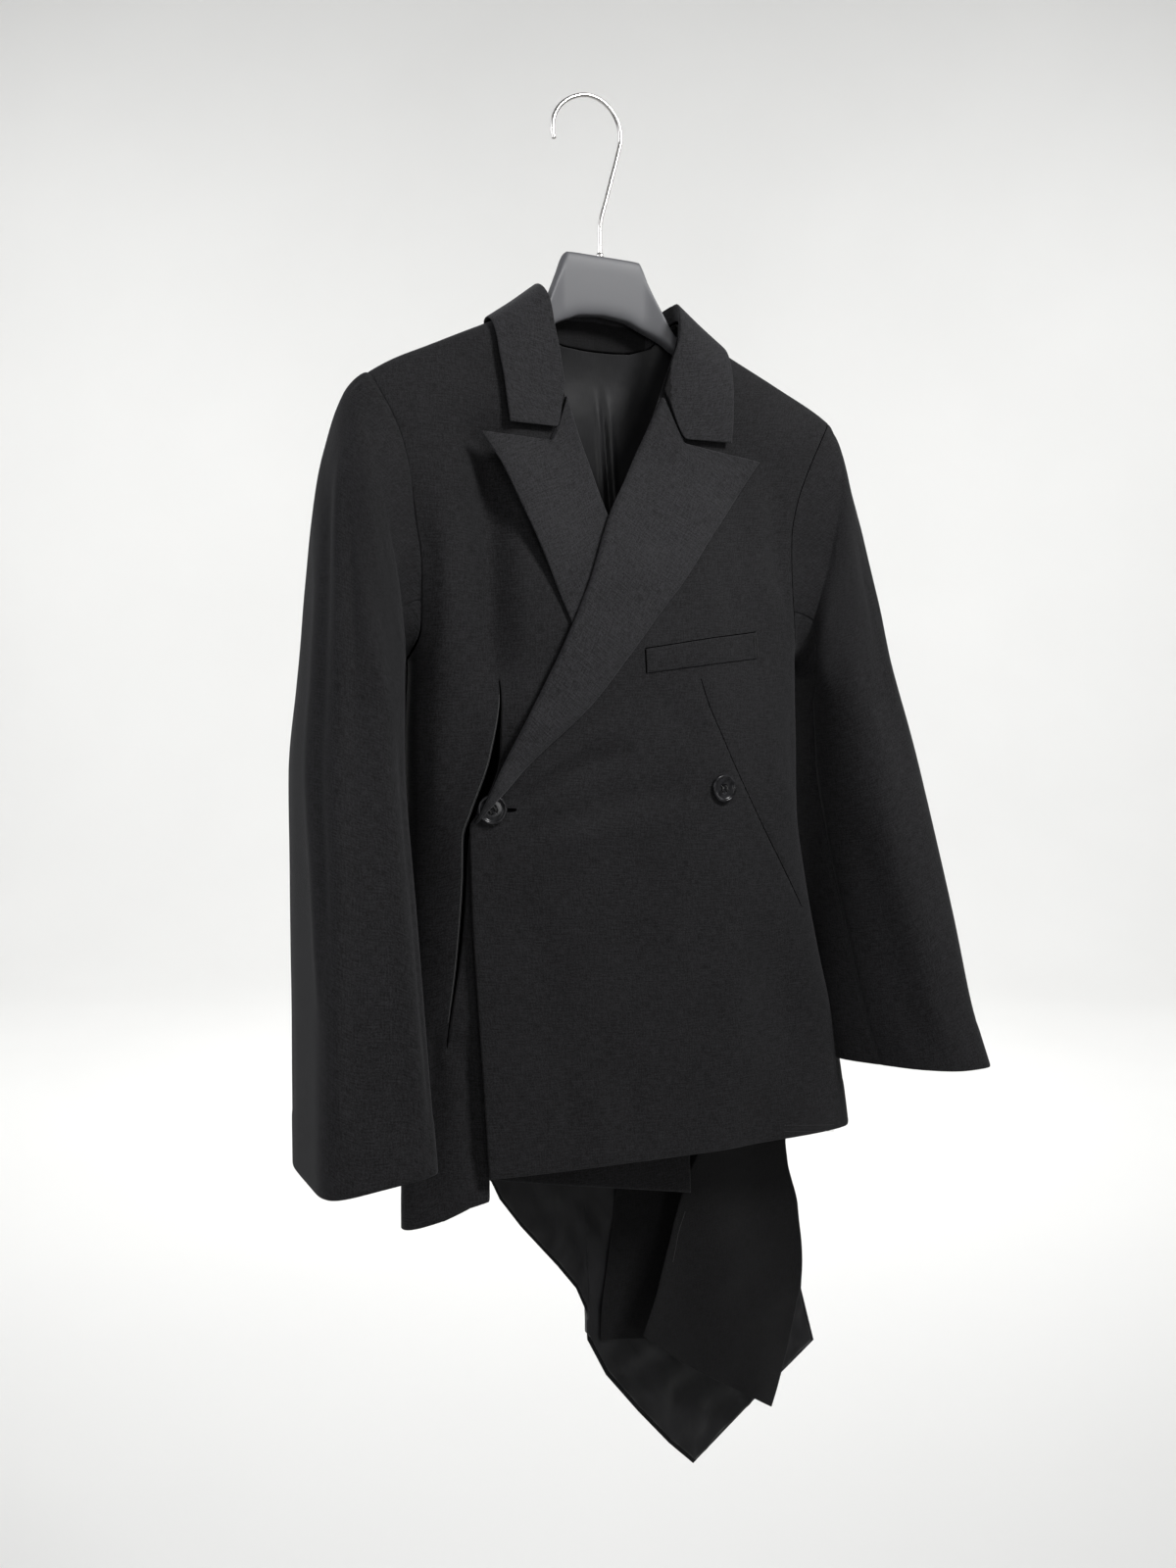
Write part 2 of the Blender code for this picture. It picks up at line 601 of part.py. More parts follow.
def sleeve_rings(angles, low_angles, table_rows, column):
    """All rings of one sleeve piece.  Its points stand at the first angles at
    the armhole and have moved round to the second ones at the elbow."""
    hand = np.array([1.0 if column == 1 else -1.0, 1.0, 1.0])
    seam, normal = armhole_loop(angles, column)
    closer = 0.01
    before = armhole_loop(angles - closer, column)[0]
    after = armhole_loop(angles + closer, column)[0]
    tangent = after - before
    tangent /= np.linalg.norm(tangent, axis=1, keepdims=True)
    outward = np.cross(tangent, normal)
    lean = np.array([1.0, 0.0, 0.35]) * hand
    flip = np.sign((outward * lean).sum(axis=1))
    outward *= flip[:, None]
    under = ease((np.abs(np.degrees(angles)) - 100.0) / 70.0)[:, None]
    first = seam + outward * (GAP + 0.9 * under)
    first = first + np.array([1.4, 0.0, 0.0]) * hand * under
    first_normal = normal * (1.0 - under) + np.array([0, 0, -1.0]) * under
    first_normal /= np.linalg.norm(first_normal, axis=1, keepdims=True)
    rings = [first]
    count = len(table_rows)
    along = np.linspace(0, count - 1, 2 * count - 1)[[0, 1, 2, 3, 4, 6, 8, 9,
                                                      10, 12, 14, 16, 18]]
    rows = np.stack([np.interp(along, np.arange(count), table_rows[:, k])
                     for k in range(7)], axis=1)
    for k, row in zip(along, rows):
        outer_x, outer_z, inner_x, inner_z, mid_y, deep, turn = row
        at = angles + (low_angles - angles) * ease(k / 5.0)
        across = (1.0 + np.cos(at)) / 2.0
        turned = turn * np.sin(at)
        ring = np.stack([inner_x + (outer_x - inner_x) * across + turned,
                         mid_y - deep * np.sin(at),
                         inner_z + (outer_z - inner_z) * across], axis=1)
        rings.append(ring * hand)
    return np.array(rings), first_normal


def build_sleeve(name, angles, ends, table_rows, column):
    """One sleeve piece between two lengthwise seams, which reach the given
    angles at the elbow."""
    share = (angles - angles[0]) / (angles[-1] - angles[0])
    low = np.radians(ends[0] + (ends[1] - ends[0]) * share)
    points, first_normal = sleeve_rings(angles, low, table_rows, column)
    axis = np.mean(points, axis=1, keepdims=True)
    normals = grid_normals(points, points - axis)
    normals[0] = first_normal
    wall(name, "wool", points, normals, CLOTH)


def build_sleeves():
    """Each sleeve has a top piece and an under piece; both start at the
    armhole at the heights of the fronts' and the back's own rows."""
    turns = np.arccos(2.0 * np.array(UPPER_ROWS) - 1.0)
    seam = turns[SEAM_ROW]
    half_gap = math.radians(0.32)
    over = turns[turns <= seam + 1e-6]
    below = turns[turns >= seam - 1e-6]
    top = np.concatenate([-over, over[::-1][1:]])
    foot = np.concatenate([below[::-1], (2.0 * math.pi - below)[1:]])
    top[0], top[-1] = top[0] + half_gap, top[-1] - half_gap
    foot[0], foot[-1] = foot[0] + half_gap, foot[-1] - half_gap
    seams = (FRONT_SEAM + 0.3, BACK_SEAM - 0.5)
    wide = (BACK_SEAM - 360.0 + 0.5, FRONT_SEAM - 0.3)
    sides = (("left", SLEEVE_LEFT, 1), ("right", SLEEVE_RIGHT, 2))
    for side, table_rows, column in sides:
        build_sleeve("sleeve_top_" + side, top, wide, table_rows, column)
        build_sleeve("sleeve_under_" + side, foot, seams, table_rows, column)


def build_tails():
    """The panel in the left vent, and the strip that shows behind it."""
    rows = SIDE_TAIL
    t = np.linspace(0.0, 1.0, 7)
    foot_t = np.linspace(0.0, 1.0, len(SIDE_TAIL_FOOT))
    x = rows[:, 0:1] + (rows[:, 2:3] - rows[:, 0:1]) * t
    z = rows[:, 1:2] + (rows[:, 3:4] - rows[:, 1:2]) * t
    y = rows[:, 4:5] + (rows[:, 5:6] - rows[:, 4:5]) * t
    head = tail_y(x[0, -1], z[0, -1], BACK) - 1.2 * SEAT
    y[0] = rows[0, 4] + (head - rows[0, 4]) * t
    x[-1] = np.interp(t, foot_t, SIDE_TAIL_FOOT[:, 0])
    z[-1] = np.interp(t, foot_t, SIDE_TAIL_FOOT[:, 1])
    y = y + 2.0 * np.sin(x / 18.0 + z / 60.0) * ease((-560.0 - z) / 60.0)
    hanging_wall("side_tail", x, y, z)
    rows, t = TAIL_UNDERLAP, np.linspace(0.0, 1.0, 7)
    x = rows[:, 0:1] + (rows[:, 2:3] - rows[:, 0:1]) * t
    z = rows[:, 1:2] + (rows[:, 3:4] - rows[:, 1:2]) * t
    free = 1.0 - 10.0 * ease((z + 745.0) / 50.0) + 1.6 * np.sin(x / 14.0)
    head = ease((z + 715.0) / 75.0)
    y = free * (1.0 - head) + (tail_y(x, z, BACK) - SEAT) * head
    hanging_wall("tail_underlap", x, y, z)


def hanging_wall(name, x, y, z):
    points = np.stack([x, y, z], -1)
    normals = grid_normals(points, np.array([0.0, -1.0, 0.0]))
    wall(name, "wool", points, normals, CLOTH)


def front_place(x, z, lift):
    """A point on the overlapping front's outer face, and its normal."""
    x, z = np.asarray(x, float), np.asarray(z, float)
    point, normal = surface(x, z, FRONT)
    height = overlap_lift(x, z) + CLOTH / 2 + lift
    return point + normal * height[..., None], normal


def build_welt():
    t = np.linspace(0.0, 1.0, 8)
    s = np.linspace(0.0, 1.0, 3)[:, None]
    x = -4.0 + 104.0 * t + 0.0 * s
    z = (-322.0 + 13.0 * t) * (1 - s) + (-304.5 + 15.5 * t) * s
    points, normals = front_place(x, z, GAP + 1.4)
    wall("welt_pocket", "wool", points, normals, 1.2)


def build_button(name, x, z):
    """A button with a raised rim and four holes, sewn flat on the front."""
    place, axis = front_place(x, z, GAP + 0.1)
    profile = [(0.0, 0.0), (9.6, 0.0), (10.5, 0.9), (10.5, 2.6), (9.7, 3.2),
               (8.7, 3.1), (7.6, 2.2), (0.0, 2.0)]
    shape = bmesh.new()
    count = 24
    rings = []
    for radius, height in profile[1:-1]:
        rings.append([shape.verts.new((
            radius * math.cos(2 * math.pi * k / count),
            radius * math.sin(2 * math.pi * k / count), height))
            for k in range(count)])
    for low, high in zip(rings[:-1], rings[1:]):
        for k in range(count):
            n = (k + 1) % count
            shape.faces.new((low[k], low[n], high[n], high[k]))
    shape.faces.new(rings[0][::-1])
    shape.faces.new(rings[-1])
    mesh = bpy.data.meshes.new(name)
    shape.to_mesh(mesh)
    shape.free()
    disc = bpy.data.objects.new(name, mesh)
    bpy.context.scene.collection.objects.link(disc)
    for dx, dy in ((-2, -2), (2, -2), (2, 2), (-2, 2)):
        drill_hole(disc, dx, dy)
    along = np.cross([0.0, 0.0, 1.0], axis)
    along /= np.linalg.norm(along)
    up = np.cross(axis, along)
    frame = np.stack([along, up, axis], axis=1)
    local = np.array([tuple(v.co) for v in disc.data.vertices])
    faces = [tuple(f.vertices) for f in disc.data.polygons]
    bpy.data.objects.remove(disc)
    add_mesh(name, "button_resin", place + local @ frame.T, faces)


def drill_hole(disc, dx, dy):
    shape = bmesh.new()
    bmesh.ops.create_cone(shape, cap_ends=True, segments=10, radius1=0.95,
                          radius2=0.95, depth=12.0)
    bmesh.ops.translate(shape, verts=shape.verts, vec=(dx, dy, 0.0))
    mesh = bpy.data.meshes.new("drill")
    shape.to_mesh(mesh)
    shape.free()
    drill = bpy.data.objects.new("drill", mesh)
    bpy.context.scene.collection.objects.link(drill)
    cut = disc.modifiers.new("cut", "BOOLEAN")
    cut.operation, cut.solver, cut.object = "DIFFERENCE", "EXACT", drill
    graph = bpy.context.evaluated_depsgraph_get()
    done = bpy.data.meshes.new_from_object(disc.evaluated_get(graph))
    disc.modifiers.clear()
    disc.data = done
    bpy.data.objects.remove(drill)


def build_hanger():
    """A wide contoured hanger under the shoulders, with a plate at the neck."""
    half = HANGER
    mirrored = half[1:][::-1] * np.array([-1.0, 1, 1, 1, 1])
    rows = np.concatenate([mirrored, half])
    turns = np.linspace(0.0, 2.0 * math.pi, 17)[:-1] + math.pi / 16.0
    rings = []
    for x, top, foot, thick, corner in rows:
        c, s = np.cos(turns), np.sin(turns)
        power = 2.0 / corner
        y = np.sign(c) * np.abs(c) ** power * thick
        z = np.sign(s) * np.abs(s) ** power * (top - foot) / 2.0
        bow = side_line_y(x, (top + foot) / 2.0) * ease((abs(x) - 32) / 24)
        rings.append(np.stack([np.full_like(y, x), y + bow,
                               z + (top + foot) / 2.0], axis=1))
    loft("hanger_body", "hanger_plastic", rings)


def loft(name, finish, rings):
    """Join rings of points into one closed solid with flat ends."""
    count = len(rings[0])
    points = np.concatenate(rings)
    faces = [tuple(range(count))]
    for k in range(len(rings) - 1):
        for j in range(count):
            n = (j + 1) % count
            a, b = k * count, (k + 1) * count
            faces.append((a + j, b + j, b + n, a + n))
    last = (len(rings) - 1) * count
    faces.append(tuple(range(last + count - 1, last - 1, -1)))
    return add_mesh(name, finish, points, faces)


def hook_path():
    """The hook's centre line in the hanger's mid-plane."""
    path = [(-1.3, 0.35), (-1.3, 12.0), (-1.3, 22.0), (-0.6, 27.5)]
    path += [(3.5, 42.0), (8.2, 58.5), (12.4, 73.0)]
    for degrees in range(-18, 200, 12):
        radius = HOOK_R + 5.0 * ease((degrees - 110.0) / 85.0)
        angle = math.radians(degrees)
        path.append((HOOK_CENTRE[0] + radius * math.cos(angle),
                     HOOK_CENTRE[1] + radius * math.sin(angle)))
    return np.array([(x, 0.0, z) for x, z in path])


def build_hook():
    path = hook_path()
    tangent = np.gradient(path, axis=0)
    tangent /= np.linalg.norm(tangent, axis=1, keepdims=True)
    across = np.array([0.0, 1.0, 0.0])
    turns = np.linspace(0.0, 2.0 * math.pi, 13)[:-1]
    rings = []
    for centre, along in zip(path, tangent):
        other = np.cross(along, across)
        rings.append(centre + WIRE_R * (np.cos(turns)[:, None] * across
                                        + np.sin(turns)[:, None] * other))
    tip = path[-1] + tangent[-1] * 1.0
    rings.append(tip + (rings[-1] - path[-1]) * 0.62)
    loft("hanger_hook", "hook_steel", rings)


def main():
    for thing in list(bpy.data.objects):
        bpy.data.objects.remove(thing)
    build_hanger()
    build_hook()
    build_back()
    build_tails()
    build_right_front()
    build_left_front()
    build_lapel("lapel_right", LAPEL_RIGHT, lambda x, z: 0.0 * x,
                lambda x, z: 0.0 * x)
    build_lapel("lapel_left", LAPEL_LEFT, overlap_lift, button_lift)
    build_collar()
    build_sleeves()
    build_welt()
    build_button("button_inner", 57.8, -408.0)
    build_button("button_edge", -127.0, -417.5)


main()
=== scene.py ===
"""Scene of an asymmetric double-breasted blazer hanging on its hanger.

Lengths in the tables are millimetres in the hanger's own frame: X to the
viewer's right, Y away from the viewer, Z up from the hanger's top edge.
Left and right are the wearer's, so left is at the viewer's right, +X.
"""
import logging
import math
from dataclasses import dataclass
from enum import Enum, IntEnum
from typing import Callable, Iterable, Sequence

import bmesh
import bpy
import numpy as np
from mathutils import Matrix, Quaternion, Vector


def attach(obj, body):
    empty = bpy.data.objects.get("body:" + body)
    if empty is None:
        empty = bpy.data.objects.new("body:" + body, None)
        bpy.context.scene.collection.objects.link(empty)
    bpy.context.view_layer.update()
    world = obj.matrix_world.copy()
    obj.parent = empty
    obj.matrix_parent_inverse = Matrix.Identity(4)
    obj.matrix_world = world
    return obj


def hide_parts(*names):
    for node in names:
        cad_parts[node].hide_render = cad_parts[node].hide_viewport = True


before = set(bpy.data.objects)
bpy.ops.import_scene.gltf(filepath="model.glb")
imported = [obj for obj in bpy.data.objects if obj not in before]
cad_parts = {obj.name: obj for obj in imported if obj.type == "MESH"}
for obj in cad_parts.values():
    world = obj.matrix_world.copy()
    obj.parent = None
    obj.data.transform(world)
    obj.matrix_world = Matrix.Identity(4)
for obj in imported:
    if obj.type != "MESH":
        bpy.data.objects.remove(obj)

LOG = logging.getLogger("blazer")
Array = np.ndarray
FaceList = list[tuple[int, ...]]
MM = 0.001
# The part's origin, the inner top of the hook, in the hanger's frame.
ORIGIN = np.array([-10.0, 0.0, 118.1])
FORWARD = np.array([0.0, -1.0, 0.0])
BACKWARD = np.array([0.0, 1.0, 0.0])
UPWARD = np.array([0.0, 0.0, 1.0])
# Thickness of the wool, heights of the underarm and of the sleeve's head,
# and how far the shoulder's tip and the collar's foot are from the centre.
CLOTH = 1.3
UNDERARM_Z = -310.0
HEAD_Z = -113.0
ARM_SPAN = 196.0
COLLAR_SPAN = 61.0
# How far down the shoulder rounds, and how squarely.
RIDGE_DROP = 62.0
RIDGE_POWER = 2.2
# Height of the overlapping front's hem at its edge, and its fall to the side.
HEM_Z = -679.0
HEM_FALL = 12.0

# The body's sections: height, half width at the left and at the right side,
# shift of the side line in Y, depth to the front, depth to the back, corner.
BODY = np.array([
    [-1010.0, 215, 189, -46, 28, 54, 3.0],
    [-820.0, 212, 189, -44, 28, 54, 3.0],
    [-700.0, 200.5, 188, -41, 28, 53, 3.0],
    [-610.0, 187, 183, -37, 31, 51, 3.0],
    [-540.0, 170, 180, -33, 36, 49, 3.0],
    [-480.0, 157.5, 178, -29, 42, 47, 3.0],
    [-430.0, 151, 176, -25, 46, 45, 3.0],
    [-370.0, 153, 174, -20, 47, 43, 3.0],
    [-310.0, 154, 170, -15, 46, 41, 3.2],
    [-260.0, 161, 176, -10, 41, 38, 3.6],
    [-210.0, 172, 188, -6, 31, 33, 4.0],
    [-180.0, 187, 198, -4, 26, 29, 4.0],
    [-150.0, 204, 207, -2, 22, 25, 4.0],
    [-120.0, 212, 212, -1, 20, 22, 4.0],
    [-90.0, 216, 216, 0, 18.5, 20, 4.0],
    [0.0, 216, 216, 0, 17, 16, 4.0]])

# The shoulder's ridge: distance from the centre, height.
SHOULDER = np.array([
    [0.0, -26], [40, -36], [62, -46], [100, -64],
    [150, -88], [180, -103], [196, -113], [210, -126]])

# The armhole seams: height, distance from the centre at the left and right.
ARMHOLE = np.array([
    [-310.0, 154, 170], [-290, 149, 166], [-250, 145, 166], [-211, 148, 169.5],
    [-185, 155, 172], [-160, 166, 176.5], [-140, 177, 184], [-126, 186, 191],
    [-113, 196, 196]])

# The overlapping front's free edge, then its roll line: height, X.
EDGE_LEFT = np.array([
    [-690.0, -131], [-606, -135], [-537, -139], [-482, -141.5], [-430, -142],
    [-417, -134.5], [-396, -123], [-352, -98], [-303, -70], [-260, -46],
    [-230, -31], [-200, -16.5], [-176, -0.5], [-148, 16.5], [-128, 27.5],
    [-91, 43], [-46, 61]])

# The under front's free edge, then its roll line: height, X.
EDGE_RIGHT = np.array([
    [-740.0, 60], [-600, 57], [-420, 51], [-362, 46], [-335, 36],
    [-300, 22], [-240, -4], [-202, -19.5], [-185, -24], [-163, -30],
    [-138, -38], [-111, -46], [-46, -61]])

# The open slit in the under front, and where that front turns back.
SLIT = np.array([
    [-720.0, -164], [-581, -158.5], [-523, -152], [-465, -147.5],
    [-436, -146.5], [-419, -141], [-380, -126.5], [-330, -116],
    [-200, -114], [-46, -112]])
SLIT_TOP, SLIT_FOOT = -330.0, -581.0
TURN = np.array([
    [-720.0, -124], [-600, -124], [-470, -124], [-400, -112],
    [-300, -98], [-46, -88]])

# The back's guides: X and Z at the hem, X at underarm height, X at the top.
BACK_GUIDES = np.array([
    [-182.0, -600, -168, -196],
    [-92, -718, -116, -129],
    [-38, -791, -70, -62],
    [-10, -840, -36, -34],
    [6, -889, 0, 0],
    [46, -942, 34, 34],
    [92, -990, 66, 62],
    [152, -948, 110, 129],
    [213, -906, 154, 196]])
BACK_HEM = np.array([
    [0.0, -182, -600], [1, -95, -713], [1.3, -88, -728], [1.6, -70, -753],
    [2, -38, -791], [2.5, -21, -813], [3, -10, -838], [3.4, -10, -859],
    [4, 7, -892], [5, 38, -931], [5.6, 68, -966], [6, 92, -990],
    [7, 152, -948], [8, 213, -906]])
BACK_EDGE = np.array([
    [-906.0, 213], [-856, 199], [-837, 200.5], [-803, 197], [-761, 188],
    [-720, 179], [-660, 176], [-610, 186.5], [-600, 185]])

# Lapels, a row per station along the roll: roll X, Z, mid X, Z, edge X, Z.
LAPEL_LEFT = np.array([
    [38.5, -108, 54, -143.5, 118.5, -155],
    [27.5, -128, 60, -160, 102, -175],
    [16.5, -148, 50, -177, 87, -193.5],
    [-0.5, -176, 30, -205, 61, -223.5],
    [-16.5, -200, 12, -228, 39, -249],
    [-46, -260, -21, -273, 4.5, -284.5],
    [-70, -303, -44, -313, -19, -309.5],
    [-98, -352, -76, -356, -53, -346.5],
    [-123, -396, -109, -390, -94, -381],
    [-138.5, -427, -135, -423, -131, -417]])
LAPEL_RIGHT = np.array([
    [-44.5, -115, -59, -151.5, -121.5, -151.5],
    [-41, -128, -64, -158, -109, -170],
    [-31, -161, -58, -180, -95.5, -197.5],
    [-19.5, -201, -48, -221, -80, -234],
    [-4, -240, -34, -257, -65, -273],
    [22, -300, -6, -316, -43, -322],
    [36, -335, 18, -344, -4, -350],
    [45, -360, 40, -361, 34, -362]])

# The collar's half: X, girth and height over the body at the stand's foot,
# the fold, and the free edge.
COLLAR = np.array([
    [46.0, -70, 2.0, 43, -72, 4.4, 95, -83, 6.0],
    [51, -53, 2.4, 48, -54.5, 5.5, 98, -57, 6.2],
    [57, -30, 3.0, 54, -32, 9.0, 100, -35, 5.4],
    [60.5, 0, 2.4, 54, 0, 13.0, 100, 0, 3.6],
    [48, 36, 0.4, 46, 17, 11.0, 86, 36, 3.2],
    [30, 46, 0.2, 29, 24, 9.0, 56, 53, 3.2],
    [15, 49.5, 0.2, 14.5, 26.5, 8.6, 28, 62, 3.2],
    [0, 52.2, 0.2, 0, 28, 8.4, 0, 65, 3.2]])
NOTCH = np.array([56.5, -101.0])
COLLAR_LEAN = np.array([4.0, 2.5, 1.0, 0, 0, 0, 0, 0])

# The sleeves' rings: outer X, Z, inner X, Z, middle Y, half depth, turn.
SLEEVE_LEFT = np.array([
    [203.5, -127, 158.5, -314, -22, 47, 0],
    [205.5, -160, 161, -318, -23, 55, 1],
    [213, -208, 163, -323, -25, 57, 3],
    [225, -266, 168, -333, -28, 58, 5],
    [237, -328, 172, -347, -32, 57, 8],
    [244.5, -390, 175.5, -392, -42, 55, 12],
    [246, -455, 177, -455, -57, 53, 17],
    [248.5, -520, 183, -520, -72, 51, 22],
    [253, -586, 191, -586, -87, 48, 26],
    [260.5, -633, 199.5, -633, -98, 47, 29]])
SLEEVE_RIGHT = np.array([
    [211.0, -127, 174, -314, -22, 46, 0],
    [222, -163, 176, -318, -23, 54, 0],
    [231, -214, 177.5, -323, -25, 58, 0],
    [238, -270, 180, -333, -28, 59, 0],
    [246, -330, 182, -352, -32, 58, 0],
    [255, -392, 186, -393, -42, 56, 0],
    [257.5, -460, 189, -457, -57, 54, 0],
    [261, -530, 191, -526, -73, 52, 0],
    [265, -600, 191, -594, -88, 49, 0],
    [268, -652, 190.5, -645, -100, 46, 0]])

# The panel in the left vent and the strip behind it: X, Z at the left edge,
# X, Z at the right edge, then Y at the left and right for the panel.
SIDE_TAIL = np.array([
    [138.0, -560, 160, -560, -40, -19],
    [104, -640, 160, -640, -36, -28],
    [57, -728, 165, -711, -32, -15],
    [44, -775, 182, -775, -32, -11],
    [32, -812, 190.6, -829, -33, -8],
    [24, -831, 178, -896, -33, -8],
    [18.4, -844, 157, -946, -33, -9]])
SIDE_TAIL_FOOT = np.array([[18.4, -844], [60.4, -880], [94, -903],
                           [133, -929], [157, -946]])
TAIL_UNDERLAP = np.array([
    [40.0, -640, 112, -640], [16, -715, 112, -715], [8, -775, 110, -775],
    [-1, -835, 108, -838], [-2, -858, 104, -878]])

# The hanger's sections: X, top, foot, half thickness, corner.
HANGER = np.array([
    [0.0, 0, -45, 6.0, 5.0], [20, 0, -47, 6.0, 5.0],
    [31, -0.4, -51, 6.0, 5.0], [33.5, -4, -52, 6.0, 5.0],
    [38, -15, -54, 6.0, 5.0], [45, -30, -58, 6.0, 4.5],
    [51, -42.3, -62, 6.0, 4.0], [56, -51.2, -66, 6.2, 3.5],
    [61, -56, -69, 5.5, 3.2], [68, -60, -75, 6.0, 3.0],
    [85, -66.4, -87, 8.6, 2.6], [110, -78.4, -102, 10.6, 2.4],
    [140, -92.4, -119, 11.3, 2.4], [166, -105.4, -131, 10.6, 2.4],
    [180, -113.6, -136, 9.2, 2.3], [186, -119.6, -134, 5.6, 2.2]])


def hermite(at: Array | float, knots: Array, values: Array) -> Array:
    """Read a smooth curve that passes through its knots without overshoot.

    Args:
        at: places to read, kept inside the knots' range.
        knots: rising knot places.
        values: one value, or one row of values, for each knot.

    Returns:
        The curve's value, or row of values, at each place.
    """
    knots = np.asarray(knots, float)
    table = np.asarray(values, float).reshape(len(knots), -1)
    where = np.clip(np.asarray(at, float), knots[0], knots[-1]).ravel()
    step = np.diff(knots)[:, None]
    slope = np.diff(table, axis=0) / step
    before, after = slope[:-1], slope[1:]
    first, second = 2 * step[1:] + step[:-1], step[1:] + 2 * step[:-1]
    with np.errstate(divide="ignore", invalid="ignore"):
        blend = (first + second) / (first / before + second / after)
    inner = np.where(before * after > 0.0, blend, 0.0)
    tangent = np.concatenate([slope[:1], inner, slope[-1:]])
    k = np.clip(np.searchsorted(knots, where, "right") - 1, 0, len(knots) - 2)
    gap = step[k]
    t = ((where - knots[k])[:, None]) / gap
    result = ((2 * t ** 3 - 3 * t ** 2 + 1) * table[k]
              + (t ** 3 - 2 * t ** 2 + t) * gap * tangent[k]
              + (3 * t ** 2 - 2 * t ** 3) * table[k + 1]
              + (t ** 3 - t ** 2) * gap * tangent[k + 1])
    shape = np.shape(at)
    if np.ndim(values) == 1:
        return result.reshape(shape)
    return result.reshape(shape + (table.shape[1],))


def ease(t: Array | float) -> Array:
    """Smooth step from 0 to 1."""
    t = np.clip(t, 0.0, 1.0)
    return t * t * (3.0 - 2.0 * t)


def bell(away: Array, wide: float) -> Array:
    """A soft bump: 1 where the distance is 0, fading over a width."""
    return np.exp(-(away / wide) ** 2)


def unit(vectors: Array) -> Array:
    """Vectors of length 1 in the same directions."""
    return vectors / np.linalg.norm(vectors, axis=-1, keepdims=True)


def between(rows: Array, first: int, last: int, share: Array) -> Array:
    """Values that run from one column of the rows to another."""
    start, end = rows[:, first, None], rows[:, last, None]
    return start + (end - start) * share


def path_run(corners: Array) -> Array:
    """Length along a bent line up to each of its corners."""
    legs = np.linalg.norm(np.diff(corners, axis=0), axis=1)
    return np.concatenate([[0.0], np.cumsum(legs)])


def full_circle(count: int) -> Array:
    """Equal turns round a circle, in radians."""
    return np.linspace(0.0, math.tau, count + 1)[:-1]


def signed_power(values: Array, power: float) -> Array:
    """Raise sizes to a power and keep their signs, for squarish rings."""
    return np.sign(values) * np.abs(values) ** power


def shoulder_z(x: Array | float) -> Array:
    """Height of the shoulder seam over x."""
    return hermite(np.abs(x), SHOULDER[:, 0], SHOULDER[:, 1])


class Column(IntEnum):
    """Columns of the body's sections; the first two suit ARMHOLE too."""

    LEFT = 1
    RIGHT = 2
    SIDE_SHIFT = 3
    FRONT = 4
    BACK = 5
    CORNER = 6


def body(z: Array, column: Column) -> Array:
    """One column of the body's sections at the heights z."""
    return hermite(z, BODY[:, 0], BODY[:, column])


def side_line_y(x: Array, z: Array) -> Array:
    """Depth of the line where the front meets the back."""
    rise = ease((z - UNDERARM_Z) / 200.0)
    bow = 17.0 * (np.abs(x) / ARM_SPAN) ** 1.5 * rise
    return -10.0 + 5.0 * rise - bow + body(z, Column.SIDE_SHIFT)


class Side(Enum):
    """Which half of the body a surface belongs to."""

    FRONT = -1.0
    BACK = 1.0


def body_y(x: Array, z: Array, side: Side) -> Array:
    """Depth of the body's surface.

    Args:
        x: distances from the centre.
        z: heights.
        side: front or back.

    Returns:
        The surface's Y at each point.
    """
    square = body(z, Column.CORNER)
    width = np.where(x >= 0.0, body(z, Column.LEFT), body(z, Column.RIGHT))
    across = np.clip(np.abs(x) / width, 0.0, 1.0)
    round_side = (1.0 - across ** square) ** (1.0 / square)
    down = np.clip((shoulder_z(x) - z) / RIDGE_DROP, 0.0, 1.0)
    round_top = (1.0 - (1.0 - down) ** RIDGE_POWER) ** (1.0 / RIDGE_POWER)
    depth = body(z, Column.FRONT if side is Side.FRONT else Column.BACK)
    return side_line_y(x, z) + side.value * depth * round_side * round_top


def overlap_lift(x: Array, z: Array) -> Array:
    """How far the overlapping front stands off the under front."""
    return 5.6 * ease((108.0 - x) / 60.0) * ease((-152.0 - z) / 50.0)


def near_path(x: Array, z: Array, path: Sequence[tuple[float, float]]
              ) -> tuple[Array, Array]:
    """Distance to a bent line, and how far along it the nearest point is.

    Args:
        x: X of the points.
        z: Z of the points.
        path: the line's corners.

    Returns:
        The distance, and the share of the line's length, for each point.
    """
    corners = np.array(path, float)
    run = path_run(corners)
    best = np.full(np.shape(x), np.inf)
    place = np.zeros(np.shape(x))
    for k, leg in enumerate(np.diff(run)):
        start, way = corners[k], (corners[k + 1] - corners[k]) / leg
        along = np.clip((x - start[0]) * way[0] + (z - start[1]) * way[1],
                        0.0, leg)
        away = np.hypot(x - start[0] - along * way[0],
                        z - start[1] - along * way[1])
        closer = away < best
        best = np.where(closer, away, best)
        place = np.where(closer, (run[k] + along) / run[-1], place)
    return best, place


@dataclass(frozen=True)
class Fold:
    """A soft ridge, or a trough where its height is negative."""

    path: tuple[tuple[float, float], ...]
    height: float
    width: float
    fade: float = 0.25

    def lift(self, x: Array, z: Array) -> Array:
        """How far the fold lifts the cloth at each point."""
        corners = np.array(self.path, float)
        run = path_run(corners)
        at = np.linspace(0.0, run[-1], int(2.5 * run[-1] / self.width) + 3)
        share = at / run[-1]
        strong = ease(share / self.fade) * ease((1.0 - share) / self.fade)
        total = np.zeros(np.shape(x))
        for (mid_x, mid_z), much in zip(hermite(at, run, corners), strong):
            away = (x - mid_x) ** 2 + (z - mid_z) ** 2
            total += much * np.exp(-away / self.width ** 2)
        return self.height * total * at[1] / (self.width * math.sqrt(math.pi))


